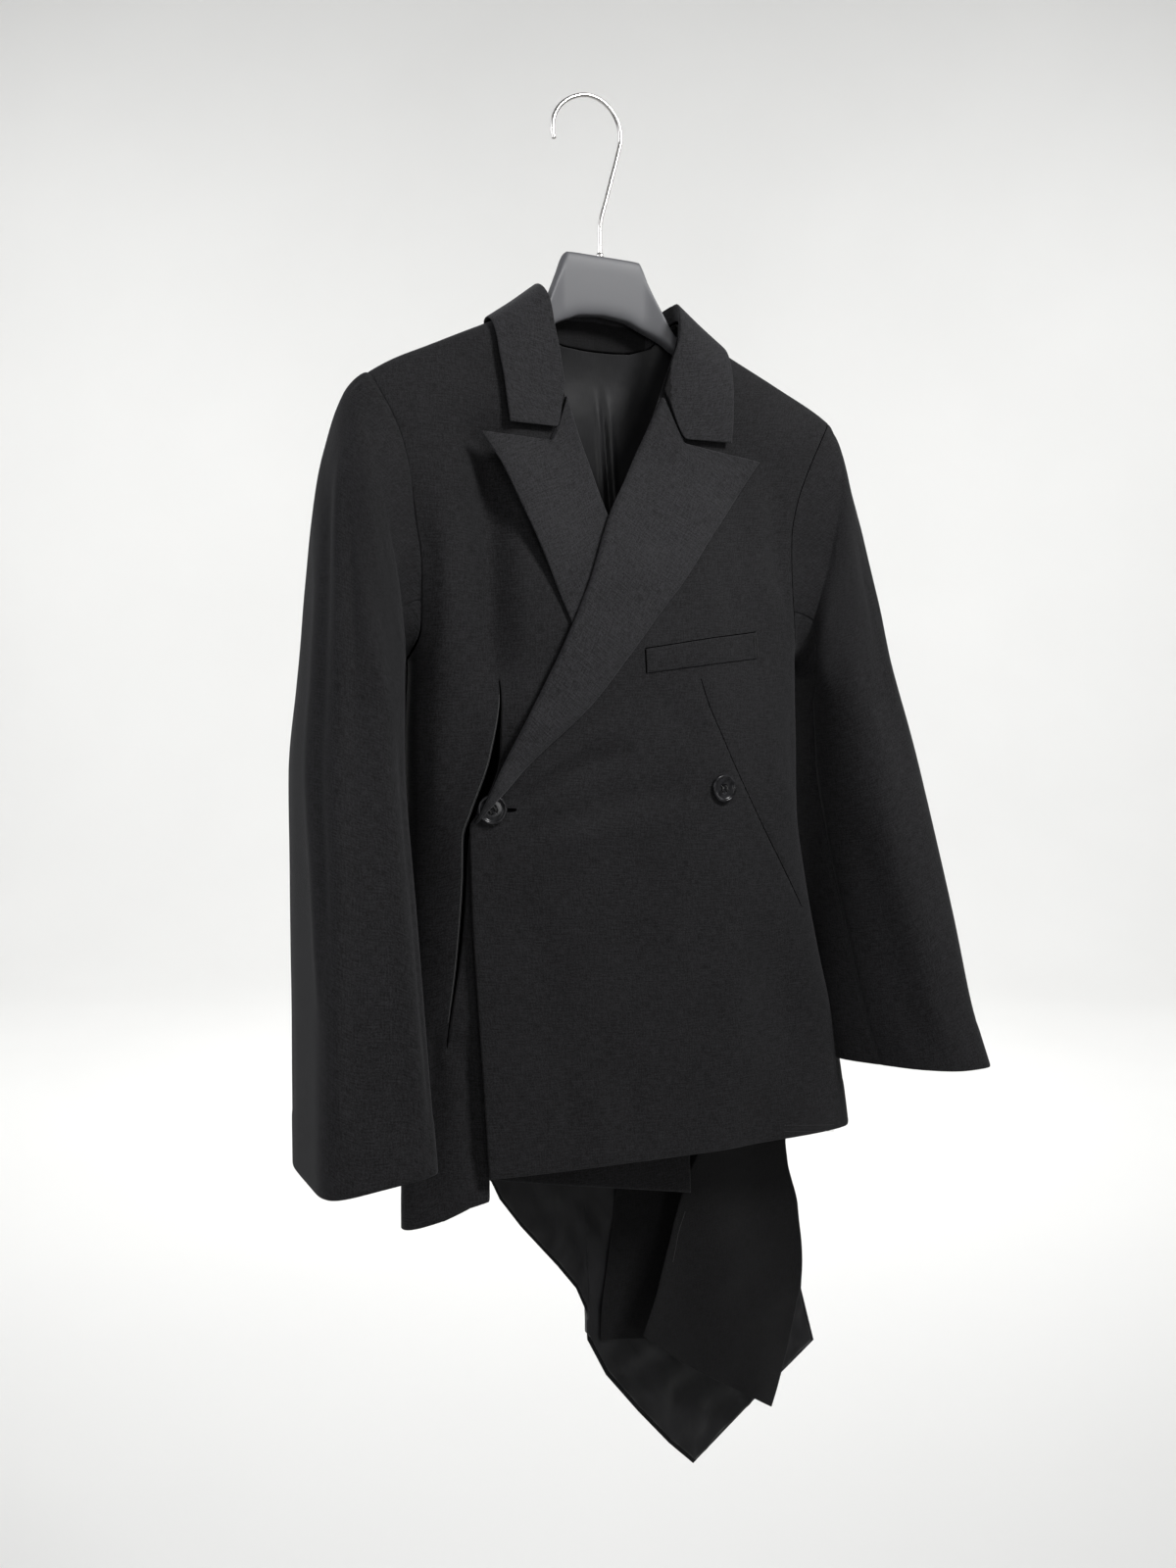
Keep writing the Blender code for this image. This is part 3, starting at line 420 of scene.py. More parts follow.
FRONT_LEFT_FOLDS = (
    Fold(((-126, -428), (-92, -404), (-45, -384), (-6, -378)), -2.4, 8.0),
    Fold(((-120, -412), (-80, -386), (-36, -362), (-8, -352)), 1.8, 9.0),
    Fold(((-128, -440), (-84, -428), (-30, -414), (34, -402)), -1.5, 9.0),
    Fold(((-104, -446), (-60, -440), (10, -428), (60, -420)), 1.1, 10.0),
    Fold(((-130, -460), (-96, -500), (-88, -560), (-92, -620)), -1.4, 15.0),
    Fold(((-74, -590), (-70, -640), (-68, -684)), -1.8, 8.0, 0.5),
    Fold(((-48, -600), (-44, -650), (-42, -686)), 1.3, 9.0, 0.5),
    Fold(((-20, -610), (-17, -650), (-15, -686)), -1.6, 9.0, 0.5),
    Fold(((60, -480), (76, -560), (88, -650), (92, -684)), 2.6, 26.0, 0.3),
    Fold(((118, -500), (126, -580), (132, -684)), -2.0, 18.0, 0.3),
    Fold(((136, -150), (134, -210), (132, -262)), -2.6, 13.0),
    Fold(((112, -160), (112, -220), (116, -290)), 1.6, 14.0),
    Fold(((70, -230), (76, -262), (84, -280)), -1.0, 9.0),
    Fold(((0, -330), (20, -352), (44, -380)), -1.2, 12.0),
    Fold(((150, -330), (138, -372), (146, -430)), -1.6, 10.0),
    Fold(((-20, -470), (20, -520), (30, -600)), 1.2, 24.0))

FRONT_RIGHT_FOLDS = (
    Fold(((-112, -130), (-110, -190), (-116, -270), (-124, -345)), -13.0, 17.0, 0.2),
    Fold(((-150, -170), (-150, -260), (-156, -360), (-160, -480)), 3.2, 14.0),
    Fold(((-96, -205), (-98, -245), (-104, -280)), 2.2, 11.0),
    Fold(((-166, -560), (-170, -620), (-176, -700)), -3.6, 12.0, 0.3),
    Fold(((-142, -560), (-140, -620), (-138, -704)), -5.0, 9.0, 0.3),
    Fold(((-127, -600), (-125, -650), (-124, -700)), 2.0, 6.0, 0.3),
    Fold(((-160, -575), (-172, -590)), -1.8, 5.0, 0.5),
    Fold(((-157, -577), (-146, -594)), -1.6, 4.5, 0.5),
    Fold(((-160, -582), (-161, -602)), 1.6, 4.5, 0.5))

BACK_FOLDS = (
    Fold(((-100, -150), (-96, -240), (-104, -360)), -2.2, 20.0),
    Fold(((104, -150), (100, -250), (108, -380)), -2.4, 22.0),
    Fold(((0, -120), (2, -300), (-4, -520), (20, -760)), 2.0, 26.0),
    Fold(((52, -420), (60, -560), (78, -760)), -3.0, 24.0),
    Fold(((-60, -430), (-50, -560), (-30, -700)), -2.6, 22.0),
    Fold(((120, -520), (140, -680), (160, -840)), 2.8, 20.0))

DART = ((41, -320), (49, -345), (60, -368), (70, -388), (104, -444),
        (122, -472), (147, -510))

LAPEL_FOLDS = (
    Fold(((-96, -356), (-84, -343), (-72, -331)), -1.3, 6.0, 0.5),
    Fold(((-104, -372), (-90, -358), (-76, -350)), 0.9, 6.0, 0.5),
    Fold(((-48, -297), (-12, -268), (14, -258)), -1.1, 8.0, 0.4),
    Fold(((-34, -276), (-4, -252), (16, -236)), 0.9, 9.0, 0.4))


def grid_normals(points: Array, towards: Array) -> Array:
    """Unit normals of a grid of points, on the side of a given direction."""
    along = np.gradient(points, axis=0)
    across = np.gradient(points, axis=1)
    normal = np.cross(along, across)
    length = np.linalg.norm(normal, axis=-1, keepdims=True)
    normal /= np.maximum(length, 1e-9)
    if float((normal * towards).sum()) < 0.0:
        normal = -normal
    return normal


def samples(count: int, near_start: float = 1.0, near_end: float = 1.0,
            rim: float = 0.003) -> Array:
    """Places from 0 to 1 for a grid, with close ones along both rims.

    Args:
        count: how many places there are between the rims.
        near_start: over 1 crowds the places towards 0.
        near_end: over 1 crowds the places towards 1.
        rim: distance of the first extra place from the edge.

    Returns:
        Rising places from 0 to 1.
    """
    t = np.linspace(0.0, 1.0, count)
    t = t ** near_start
    t = 1.0 - (1.0 - t) ** near_end
    keep = t[(t > 3 * rim) & (t < 1 - 3 * rim)]
    return np.concatenate([[0.0, rim, 2.2 * rim], keep,
                           [1 - 2.2 * rim, 1 - rim, 1.0]])


def rim_profile(count: int, edge: float) -> Array:
    """Share of the cloth's thickness from the first row of a grid to the last,
    so that its edge is round."""
    profile = np.ones(count)
    profile[[0, -1]] = edge
    profile[[1, -2]] = 0.7 + 0.3 * edge
    return profile


def add_up(folds: Iterable[Fold], x: Array, z: Array) -> Array:
    """The lift of several folds together."""
    return sum((fold.lift(x, z) for fold in folds), np.zeros(np.shape(x)))


def smooth_noise(x: Array, z: Array, scale: float, seed: int) -> Array:
    """Soft uneven waves between about -1 and 1.

    Args:
        x: first coordinate in millimetres.
        z: second coordinate in millimetres.
        scale: typical wave length.
        seed: which pattern of waves.

    Returns:
        The wave height at each point.
    """
    dice = np.random.default_rng(seed)
    total = np.zeros(np.shape(x))
    for _ in range(7):
        turn = dice.uniform(0.0, math.tau)
        pace = math.tau / (scale * dice.uniform(0.7, 1.6))
        start = dice.uniform(0.0, math.tau)
        total = total + np.sin((x * math.cos(turn) + z * math.sin(turn))
                               * pace + start)
    return total / 4.0


def left_creases(x: Array, z: Array) -> Array:
    """Folds and unevenness of the overlapping front."""
    return add_up(FRONT_LEFT_FOLDS, x, z) + 0.35 * smooth_noise(x, z, 70.0, 3)


def placed_object(name: str, data: bpy.types.ID) -> bpy.types.Object:
    """Make an object from its data and put it in the scene."""
    made = bpy.data.objects.new(name, data)
    bpy.context.scene.collection.objects.link(made)
    return made


def band_faces(rings: int, sides: int, closed: bool = False) -> FaceList:
    """Faces between rings of points that follow one another.

    Args:
        rings: how many rings there are.
        sides: how many points a ring has.
        closed: whether the last ring joins the first.

    Returns:
        The faces, each of four points.
    """
    faces = []
    for k in range(rings if closed else rings - 1):
        a, b = k * sides, (k + 1) % rings * sides
        for j in range(sides):
            n = (j + 1) % sides
            faces.append((a + j, a + n, b + n, b + j))
    return faces


def add_piece(name: str, verts: Array, faces: Sequence[Sequence[int]],
              finish: bpy.types.Material, uv: Array | None = None
              ) -> bpy.types.Object:
    """Make one object from points in millimetres and let it ride.

    Args:
        name: the piece's name.
        verts: its points in the hanger's frame.
        faces: its faces.
        finish: its material.
        uv: a place on the cloth, in metres, for each point.

    Returns:
        The new object.
    """
    mesh = bpy.data.meshes.new(name)
    placed = (np.asarray(verts, float) - ORIGIN) * MM
    mesh.from_pydata(placed.tolist(), [], [list(f) for f in faces])
    if uv is not None:
        layer = mesh.uv_layers.new(name="Cloth")
        index = np.empty(len(mesh.loops), dtype=np.int32)
        mesh.loops.foreach_get("vertex_index", index)
        layer.data.foreach_set("uv", uv[index].astype(np.float32).ravel())
    mesh.validate()
    mesh.shade_smooth()
    mesh.materials.append(finish)
    made = placed_object(name, mesh)
    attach(made, "root")
    return made


def cloth_uv(points: Array) -> Array:
    """Lengths along a grid's rows and columns, in metres."""
    across = np.linalg.norm(np.diff(points, axis=1), axis=2)
    across = np.concatenate([np.zeros((len(points), 1)), across], axis=1)
    u = np.cumsum(across, axis=1)
    u -= u[:, [points.shape[1] // 2]]
    down = np.linalg.norm(np.diff(points, axis=0), axis=2)
    down = np.concatenate([np.zeros((1, points.shape[1])), down])
    v = np.cumsum(down, axis=0)
    v -= v[[len(points) // 2]]
    return np.stack([u, v], -1) * MM


@dataclass(frozen=True)
class Cut:
    """How a cloth piece is cut, in metres, and what it stands for and on."""

    node: str
    flat: tuple[float, float]
    area: float
    rests_on: tuple[str, ...]
    slot: str = "wool"
    held: str = "hung"

    def dress(self, made: bpy.types.Object) -> bpy.types.Object:
        """Hide the CAD part that the piece stands in for."""
        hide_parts(self.node)
        return made


@dataclass
class Sheet:
    """A cloth panel: a fine grid of points that becomes a thin shell."""

    name: str
    points: Array
    towards: Array
    cut: Cut
    thick: float = CLOTH
    missing: Callable[[int, int], bool] | None = None
    row_rim: float = 0.4
    column_rim: float = 0.4

    def build(self, finish: bpy.types.Material) -> bpy.types.Object:
        """Close the grid into a thin shell with round rims.

        Args:
            finish: the panel's material.

        Returns:
            The panel's object.
        """
        points = self.points
        rows, columns = points.shape[:2]
        normals = grid_normals(points, self.towards)
        half = np.minimum(rim_profile(rows, self.row_rim)[:, None],
                          rim_profile(columns, self.column_rim)[None, :])
        half *= self.thick / 2.0
        outer = points + normals * half[..., None]
        inner = points - normals * half[..., None]
        count = rows * columns
        verts = np.concatenate([outer.reshape(-1, 3), inner.reshape(-1, 3)])
        flat = cloth_uv(points).reshape(-1, 2)
        uv = np.concatenate([flat, flat + 0.37])
        faces = self.shell_faces(rows, columns, count)
        faces = self.turned(verts, faces, normals)
        used, back = np.unique(np.concatenate([np.array(f) for f in faces]),
                               return_inverse=True)
        sizes = np.cumsum([0] + [len(f) for f in faces])
        faces = [back[a:b] for a, b in zip(sizes[:-1], sizes[1:])]
        made = add_piece(self.name, verts[used], faces, finish, uv[used])
        return self.cut.dress(made)

    def shell_faces(self, rows: int, columns: int, count: int) -> FaceList:
        """The shell's outer, inner and rim faces."""
        def here(i: int, j: int) -> bool:
            """Whether the grid has a cell there."""
            inside = 0 <= i < rows - 1 and 0 <= j < columns - 1
            return inside and not (self.missing and self.missing(i, j))

        faces = []
        for i in range(rows - 1):
            for j in range(columns - 1):
                if not here(i, j):
                    continue
                a = i * columns + j
                b, c, d = a + 1, a + columns + 1, a + columns
                faces.append((a, b, c, d))
                faces.append((d + count, c + count, b + count, a + count))
                if not here(i - 1, j):
                    faces.append((b, a, a + count, b + count))
                if not here(i, j + 1):
                    faces.append((c, b, b + count, c + count))
                if not here(i + 1, j):
                    faces.append((d, c, c + count, d + count))
                if not here(i, j - 1):
                    faces.append((a, d, d + count, a + count))
        return faces

    def turned(self, verts: Array, faces: FaceList, normals: Array
               ) -> FaceList:
        """Turn all faces round if the outer ones look inward."""
        flat = normals.reshape(-1, 3)
        enough = 4000
        some = [f for f in faces[:enough] if max(f) < len(flat)]
        a, b, c, d = (verts[[f[k] for f in some]] for k in range(4))
        facing = np.cross(c - a, d - b)
        flat = flat[[f[0] for f in some]]
        if float((facing * flat).sum()) < 0.0:
            return [tuple(reversed(f)) for f in faces]
        return faces


class Nodes:
    """Short ways to build a material's node tree."""

    def __init__(self, name: str) -> None:
        """Start a material with an empty node tree."""
        self.made = bpy.data.materials.new(name)
        self.made.use_nodes = True
        self.tree = self.made.node_tree
        self.shader = self.tree.nodes["Principled BSDF"]

    def add(self, kind: str, **values: object) -> bpy.types.Node:
        """Add one node and set its plain properties and input values."""
        node = self.tree.nodes.new(kind)
        for key, value in values.items():
            if hasattr(node, key):
                setattr(node, key, value)
            else:
                node.inputs[key.replace("_", " ")].default_value = value
        return node

    def join(self, source: bpy.types.NodeSocket,
             target: bpy.types.NodeSocket) -> None:
        """Link two sockets."""
        self.tree.links.new(source, target)

    def feed(self, name: str, source: bpy.types.NodeSocket) -> None:
        """Link a socket to one of the shader's inputs."""
        self.join(source, self.shader.inputs[name])

    def math(self, operation: str, first: object, second: object
             ) -> bpy.types.NodeSocket:
        """A math node on two sockets or numbers."""
        node = self.add("ShaderNodeMath", operation=operation)
        for k, value in enumerate((first, second)):
            if isinstance(value, bpy.types.NodeSocket):
                self.join(value, node.inputs[k])
            else:
                node.inputs[k].default_value = float(value)
        return node.outputs[0]

    def blend(self, *parts: tuple[bpy.types.NodeSocket, float],
              base: float | None = None) -> bpy.types.NodeSocket:
        """Add up sockets, each times its weight, on a base value.

        Args:
            parts: pairs of a socket and its weight.
            base: the number that they are added to.

        Returns:
            The total's socket.
        """
        total = base
        for socket, weight in parts:
            share = self.math("MULTIPLY", socket, weight)
            total = share if total is None else self.math("ADD", total, share)
        return total

    def ramp(self, source: bpy.types.NodeSocket,
             stops: Sequence[tuple[float, tuple[float, float, float]]]
             ) -> bpy.types.NodeSocket:
        """A colour ramp over a socket."""
        node = self.add("ShaderNodeValToRGB")
        ramp = node.color_ramp
        while len(ramp.elements) < len(stops):
            ramp.elements.new(0.5)
        for element, (place, colour) in zip(ramp.elements, stops):
            element.position = place
            element.color = (*colour, 1.0)
        self.join(source, node.inputs[0])
        return node.outputs[0]

    def cloth_place(self) -> bpy.types.NodeSocket:
        """The cloth's own lengths, in metres."""
        return self.add("ShaderNodeUVMap", uv_map="Cloth").outputs[0]

    def object_place(self) -> bpy.types.NodeSocket:
        """A place in the piece's own space."""
        return self.add("ShaderNodeTexCoord").outputs["Object"]

    def stretched(self, place: bpy.types.NodeSocket,
                  scale: tuple[float, float, float]) -> bpy.types.NodeSocket:
        """Scale a place along its axes."""
        node = self.add("ShaderNodeMapping")
        node.inputs["Scale"].default_value = scale
        self.join(place, node.inputs["Vector"])
        return node.outputs[0]

    def noise(self, place: bpy.types.NodeSocket, scale: float,
              detail: float = 2.0) -> bpy.types.NodeSocket:
        """Soft noise over a place."""
        node = self.add("ShaderNodeTexNoise", Scale=scale, Detail=detail)
        self.join(place, node.inputs["Vector"])
        return node.outputs["Fac"]

    def bump(self, height: bpy.types.NodeSocket, strength: float,
             distance: float) -> None:
        """Bump the shader's normal by a height."""
        node = self.add("ShaderNodeBump", Strength=strength,
                        Distance=distance)
        self.join(height, node.inputs["Height"])
        self.feed("Normal", node.outputs[0])

    def fixed(self, **values: object) -> None:
        """Set values on the shader's own sockets."""
        for key, value in values.items():
            socket = self.shader.inputs[key.replace("_", " ")]
            socket.default_value = value


@dataclass(frozen=True)
class WoolSuiting:
    """Near black worsted wool in a fine plain weave with faint slubs."""

    name: str = "black_wool_suiting"
    dark: float = 0.0018
    light: float = 0.0160
    sheen: float = 0.06
    pitch: float = 0.00062
    tint: tuple[float, float, float] = (0.98, 0.97, 1.06)

    def material(self) -> bpy.types.Material:
        """Build the cloth's material."""
        n = Nodes(self.name)
        place = n.cloth_place()
        split = n.add("ShaderNodeSeparateXYZ")
        n.join(place, split.inputs[0])
        pace = math.tau / self.pitch
        warp, weft = (
            n.math("SINE", n.math("MULTIPLY", split.outputs[k], pace), 0.0)
            for k in range(2))
        weave = n.math("MULTIPLY", warp, weft)
        slub = n.noise(n.stretched(place, (110.0, 900.0, 1.0)), 1.0, 3.0)
        warp_slub = n.noise(n.stretched(place, (850.0, 140.0, 1.0)), 1.0, 2.0)
        cloud = n.noise(place, 14.0, 2.0)
        grain = n.noise(place, 900.0, 2.0)
        tone = n.blend((slub, 0.42), (warp_slub, 0.3), (grain, 0.5),
                       (cloud, 0.1), (weave, 0.035))
        low = tuple(self.dark * t for t in self.tint)
        high = tuple(self.light * t for t in self.tint)
        colour = n.ramp(tone, ((0.53, low), (0.79, high)))
        n.feed("Base Color", colour)
        n.bump(n.blend((weave, 0.4), (tone, 1.2)), 0.35, 0.0003)
        rough = n.blend((slub, 0.22), base=0.68)
        n.feed("Roughness", rough)
        n.fixed(Sheen_Weight=self.sheen, Sheen_Roughness=0.45,
                Sheen_Tint=(0.9, 0.9, 0.94, 1.0), Specular_IOR_Level=0.14)
        return n.made


@dataclass(frozen=True)
class SatinLining:
    """Black satin with long soft highlights."""

    name: str = "black_satin_lining"

    def material(self) -> bpy.types.Material:
        """Build the lining's material."""
        n = Nodes(self.name)
        place = n.cloth_place()
        thread = n.noise(n.stretched(place, (2600.0, 120.0, 1.0)), 1.0, 2.0)
        cloud = n.noise(place, 22.0, 3.0)
        tone = n.blend((thread, 0.45), (cloud, 0.5))
        colour = n.ramp(tone, ((0.3, (0.007, 0.007, 0.0075)),
                               (0.75, (0.0175, 0.0175, 0.019))))
        n.feed("Base Color", colour)
        rough = n.blend((cloud, 0.16), base=0.33)
        n.feed("Roughness", rough)
        crumple = n.noise(place, 55.0, 2.0)
        n.bump(n.blend((thread, 0.25), (crumple, 1.0)), 0.2, 0.0012)
        n.fixed(Anisotropic=0.4, Sheen_Weight=0.05, Sheen_Roughness=0.3,
                Specular_IOR_Level=0.22)
        return n.made


@dataclass(frozen=True)
class MouldedPlastic:
    """Dark grey matte plastic with a fine moulded grain."""

    name: str = "matte_grey_plastic"

    def material(self) -> bpy.types.Material:
        """Build the hanger's material."""
        n = Nodes(self.name)
        place = n.object_place()
        grain = n.noise(place, 900.0, 2.0)
        cloud = n.noise(place, 18.0, 3.0)
        colour = n.ramp(cloud, ((0.25, (0.082, 0.083, 0.089)),
                                (0.8, (0.098, 0.099, 0.106))))
        n.feed("Base Color", colour)
        rough = n.blend((cloud, 0.12), base=0.46)
        n.feed("Roughness", rough)
        n.bump(grain, 0.18, 0.0002)
        n.fixed(Specular_IOR_Level=0.4)
        return n.made


@dataclass(frozen=True)
class PlatedWire:
    """Bright plated steel wire with faint drawing marks."""

    name: str = "plated_steel_wire"

    def material(self) -> bpy.types.Material:
        """Build the hook's material."""
        n = Nodes(self.name)
        place = n.object_place()
        marks = n.noise(place, 700.0, 3.0)
        cloud = n.noise(place, 60.0, 2.0)
        colour = n.ramp(cloud, ((0.3, (0.5, 0.49, 0.475)),
                                (0.75, (0.68, 0.67, 0.65))))
        n.feed("Base Color", colour)
        rough = n.blend((marks, 0.18), base=0.2)
        n.feed("Roughness", rough)
        n.bump(marks, 0.08, 0.0001)
        n.fixed(Metallic=1.0)
        return n.made


@dataclass(frozen=True)
class ButtonResin:
    """Glossy near black resin with a faint marbling."""

    name: str = "black_button_resin"

    def material(self) -> bpy.types.Material:
        """Build the buttons' material."""
        n = Nodes(self.name)
        place = n.object_place()
        cloud = n.noise(place, 240.0, 4.0)
        colour = n.ramp(cloud, ((0.35, (0.006, 0.006, 0.0065)),
                                (0.7, (0.022, 0.022, 0.024))))
        n.feed("Base Color", colour)
        rough = n.blend((cloud, 0.12), base=0.14)
        n.feed("Roughness", rough)
        n.fixed(Coat_Weight=0.06, Coat_Roughness=0.08,
                Specular_IOR_Level=0.14)
        return n.made


@dataclass(frozen=True)
class SewingThread:
    """Twisted sewing thread; a near black copy also paints shade lines, a pale copy
    a highlight.
    """

    name: str = "black_sewing_thread"
    tone: float = 0.02
    sheen: float = 0.15

    def material(self) -> bpy.types.Material:
        """Build the thread's material."""
        n = Nodes(self.name)
        place = n.object_place()
        twist = n.noise(place, 3000.0, 1.0)
        low = (self.tone * 0.7,) * 3
        high = (self.tone * 1.4,) * 3
        n.feed("Base Color", n.ramp(twist, ((0.3, low), (0.7, high))))
        n.bump(twist, 0.3, 0.0001)
        n.fixed(Roughness=0.6, Sheen_Weight=self.sheen,
                Specular_IOR_Level=0.4 * self.sheen)
        return n.made


@dataclass(frozen=True)
class StudioPaint:
    """Pale even paint of the floor and the far backdrop."""

    name: str = "pale_studio_paint"

    def material(self) -> bpy.types.Material:
        """Build the studio's material."""
        n = Nodes(self.name)
        place = n.object_place()
        cloud = n.noise(place, 0.8, 2.0)
        n.feed("Base Color", n.ramp(cloud, ((0.2, (0.83, 0.83, 0.82)),
                                            (0.8, (0.86, 0.86, 0.85)))))
        n.fixed(Roughness=0.9, Specular_IOR_Level=0.1)
        return n.made


def seam_trough(reach: Array, deep: float = 0.8, wide: float = 2.4) -> Array:
    """How far cloth dips beside a seam that is the given distance away."""
    return -deep * bell(reach, wide)


def panel_rows(hem_z: Array, top_z: Array, s: Array) -> Array:
    """Heights of rows from the hem (s = -1) past the underarm to the top.

    Args:
        hem_z: the hem's height for each column.
        top_z: the top's height for each column.
        s: row places from -1 to 1.

    Returns:
        A grid of heights, a row for each place.
    """
    hem, top = np.asarray(hem_z)[None, :], np.asarray(top_z)[None, :]
    low = UNDERARM_Z + (hem - UNDERARM_Z) * np.clip(-s, 0.0, 1.0)[:, None]
    up = 1.0 - (1.0 - np.clip(s, 0.0, 1.0)) ** 1.9
    high = UNDERARM_Z + (top - UNDERARM_Z) * up[:, None]
    return np.where(s[:, None] < 0.0, low, high)


def side_x(z: Array, column: Column) -> Array:
    """Distance of the side seam, then of the armhole, from the centre."""
    seam = body(z, column) * (1.0 - 1e-6)
    hole = hermite(z, ARMHOLE[:, 0], ARMHOLE[:, column])
    return np.where(z < UNDERARM_Z, seam, hole)


@dataclass
class Bodice:
    """The back, its lining and the two fronts."""

    wool: bpy.types.Material
    lining: bpy.types.Material
    rows: int = 170
    across: int = 110
    turned_depth: float = 44.0
    lip_height: float = 3.4
    hem_start_x: float = -131.0
    hem_width: float = 326.0

    def row_places(self) -> Array:
        """Row places from the hem to the shoulder."""
        return samples(self.rows, rim=0.0018) * 2.0 - 1.0

    def surface(self, x: Array, z: Array, side: Side,
                extra: Array | float = 0.0) -> Array:
        """Points on the body, moved out along its normal.

        Args:
            x: distances from the centre.
            z: heights.
            side: front or back.
            extra: how far each point is moved out.

        Returns:
            A grid of points.
        """
        points = np.stack([x, body_y(x, z, side), z], -1)
        out = np.array([0.0, side.value, 0.0])
        normals = grid_normals(points, out)
        return points + normals * np.broadcast_to(extra, x.shape)[..., None]

    def seam_reach(self, x: Array, z: Array, side: Side) -> Array:
        """Distance in depth from the side or shoulder seam."""
        return np.abs(body_y(x, z, side) - side_line_y(x, z))

    def off_side(self, x: Array, z: Array) -> Array:
        """0 at the side seam and the armhole, 1 away from them."""
        side = np.where(x > 0.0, side_x(z, Column.LEFT),
                        side_x(z, Column.RIGHT))
        return ease((side - np.abs(x)) / 15.0)

    def part_at_seam(self, points: Array, side: Side) -> Array:
        """Keep the panel clear of its neighbour along their seam."""
        line = side_line_y(points[..., 0], points[..., 2])
        reach = (points[..., 1] - line) * side.value
        push = np.clip(0.75 - reach, 0.0, 1.5)
        points[..., 1] += side.value * push * 0.8
        return points

    def front_left(self) -> bpy.types.Object:
        """The overlapping front."""
        s = samples(220, rim=0.0016) * 2.0 - 1.0
        u = samples(180, 1.0, 1.35)
        edge_top = float(shoulder_z(COLLAR_SPAN))
        edge_z = panel_rows([HEM_Z], [edge_top], s)[:, 0]
        side_z = panel_rows([HEM_Z - HEM_FALL], [HEAD_Z], s)[:, 0]
        top_x = COLLAR_SPAN + (ARM_SPAN - COLLAR_SPAN) * u
        z = panel_rows(HEM_Z - HEM_FALL * u, shoulder_z(top_x), s)
        edge = hermite(edge_z, EDGE_LEFT[:, 0], EDGE_LEFT[:, 1])[:, None]
        side = side_x(side_z, Column.LEFT)[:, None]
        x = edge + (side - edge) * u
        reach = self.seam_reach(x, z, Side.FRONT)
        lift = overlap_lift(x, z) + seam_trough(reach, 0.4)
        lift = lift + left_creases(x, z) * self.off_side(x, z)
        lift = lift + self.dart(x, z) + self.hem_roll(x, z)
        points = self.surface(x, z, Side.FRONT, lift)
        points = self.part_at_seam(points, Side.FRONT)
        cut = Cut("front_left", (0.375, 0.655), 0.165, ("hanger_body",))
        return Sheet("front_left_cloth", points, FORWARD, cut).build(self.wool)

    def dart(self, x: Array, z: Array) -> Array:
        """The dart's seam line and the slight pucker beside it."""
        away, along = near_path(x, z, DART)
        ends = ease(along / 0.04) * ease((1.0 - along) / 0.06)
        pucker = 0.10 * np.sin(along * 150.0) * bell(away, 6.0)
        line = -0.6 * bell(away, 1.9)
        swell = 0.25 * bell(away - 6.0, 5.0)
        return (line + pucker + swell) * ends

    def hem_roll(self, x: Array, z: Array) -> Array:
        """The turned hem is a little thicker, with a soft upper end."""
        hem = HEM_Z - HEM_FALL * (x - self.hem_start_x) / self.hem_width
        up = z - hem
        return 0.45 * ease((38.0 - up) / 5.0) - 0.25 * ease((2.5 - up) / 2.5)

    def front_right(self) -> bpy.types.Object:
        """The under front with its open slit and its turned-back part."""
        x, z, missing = self.right_grid()
        lift = seam_trough(self.seam_reach(x, z, Side.FRONT), 0.4)
        creases = add_up(FRONT_RIGHT_FOLDS, x, z)
        creases = creases + 0.35 * smooth_noise(x, z, 60.0, 5)
        lift = lift + creases * self.off_side(x, z) + self.lips(x, z)
        points = self.surface(x, z, Side.FRONT, lift)
        points[..., 1] += self.turned_back(x, z)
        points = self.part_at_seam(points, Side.FRONT)
        cut = Cut("front_right", (0.375, 0.70), 0.155, ("hanger_body",))
        return Sheet("front_right_cloth", points, FORWARD, cut,
                     missing=missing).build(self.wool)

    def right_grid(self) -> tuple[Array, Array, Callable[[int, int], bool]]:
        """Lay out the under front between its guide lines.

        Returns:
            X and Z of its points, and a test for the cells that the slit
            leaves out.
        """
        s = self.row_places()
        # Each guide's height at the hem and its X at the shoulder: side,
        # the slit's two lips, the turn's two sides, free edge.
        ends = ((-713.0, -ARM_SPAN), (-706.5, -112.0), (-706.5, -110.0),
                (-699.5, -92.0), (-696.0, -84.0), (-734.0, -COLLAR_SPAN))
        heights = [panel_rows([hem], [float(shoulder_z(top))], s)[:, 0]
                   for hem, top in ends]
        slit = hermite(heights[1], SLIT[:, 0], SLIT[:, 1])
        opening = ease((SLIT_TOP + 12 - heights[1]) / 90.0)
        opening = opening * ease((heights[1] - SLIT_FOOT + 12) / 90.0)
        turn = hermite(heights[3], TURN[:, 0], TURN[:, 1])
        edge = hermite(heights[5], EDGE_RIGHT[:, 0], EDGE_RIGHT[:, 1])
        parted = 0.7 + opening * (3.2 + 8.5 * bell(heights[1] + 385.0, 42.0))
        guides = [-side_x(heights[0], Column.RIGHT), slit, slit + parted,
                  turn - 24.0, turn + 8.0, edge]
        guides[3] = np.maximum(guides[3], 0.6 * guides[2] + 0.4 * guides[4])
        spread = ((1.0 - samples(34, 1.0, 1.6, 0.006)[::-1])[:-1],
                  np.array([0.0]), np.linspace(0, 1, 9)[:-1],
                  np.linspace(0, 1, 25)[:-1], samples(40, rim=0.005))
        xs, zs = [], []
        for k, steps in enumerate(spread):
            for t in steps:
                xs.append(guides[k] + (guides[k + 1] - guides[k]) * t)
                zs.append(heights[k] + (heights[k + 1] - heights[k]) * t)
        x, z = np.stack(xs, axis=1), np.stack(zs, axis=1)
        top = shoulder_z(x[-1])
        share = (z - UNDERARM_Z) / (z[-1] - UNDERARM_Z)
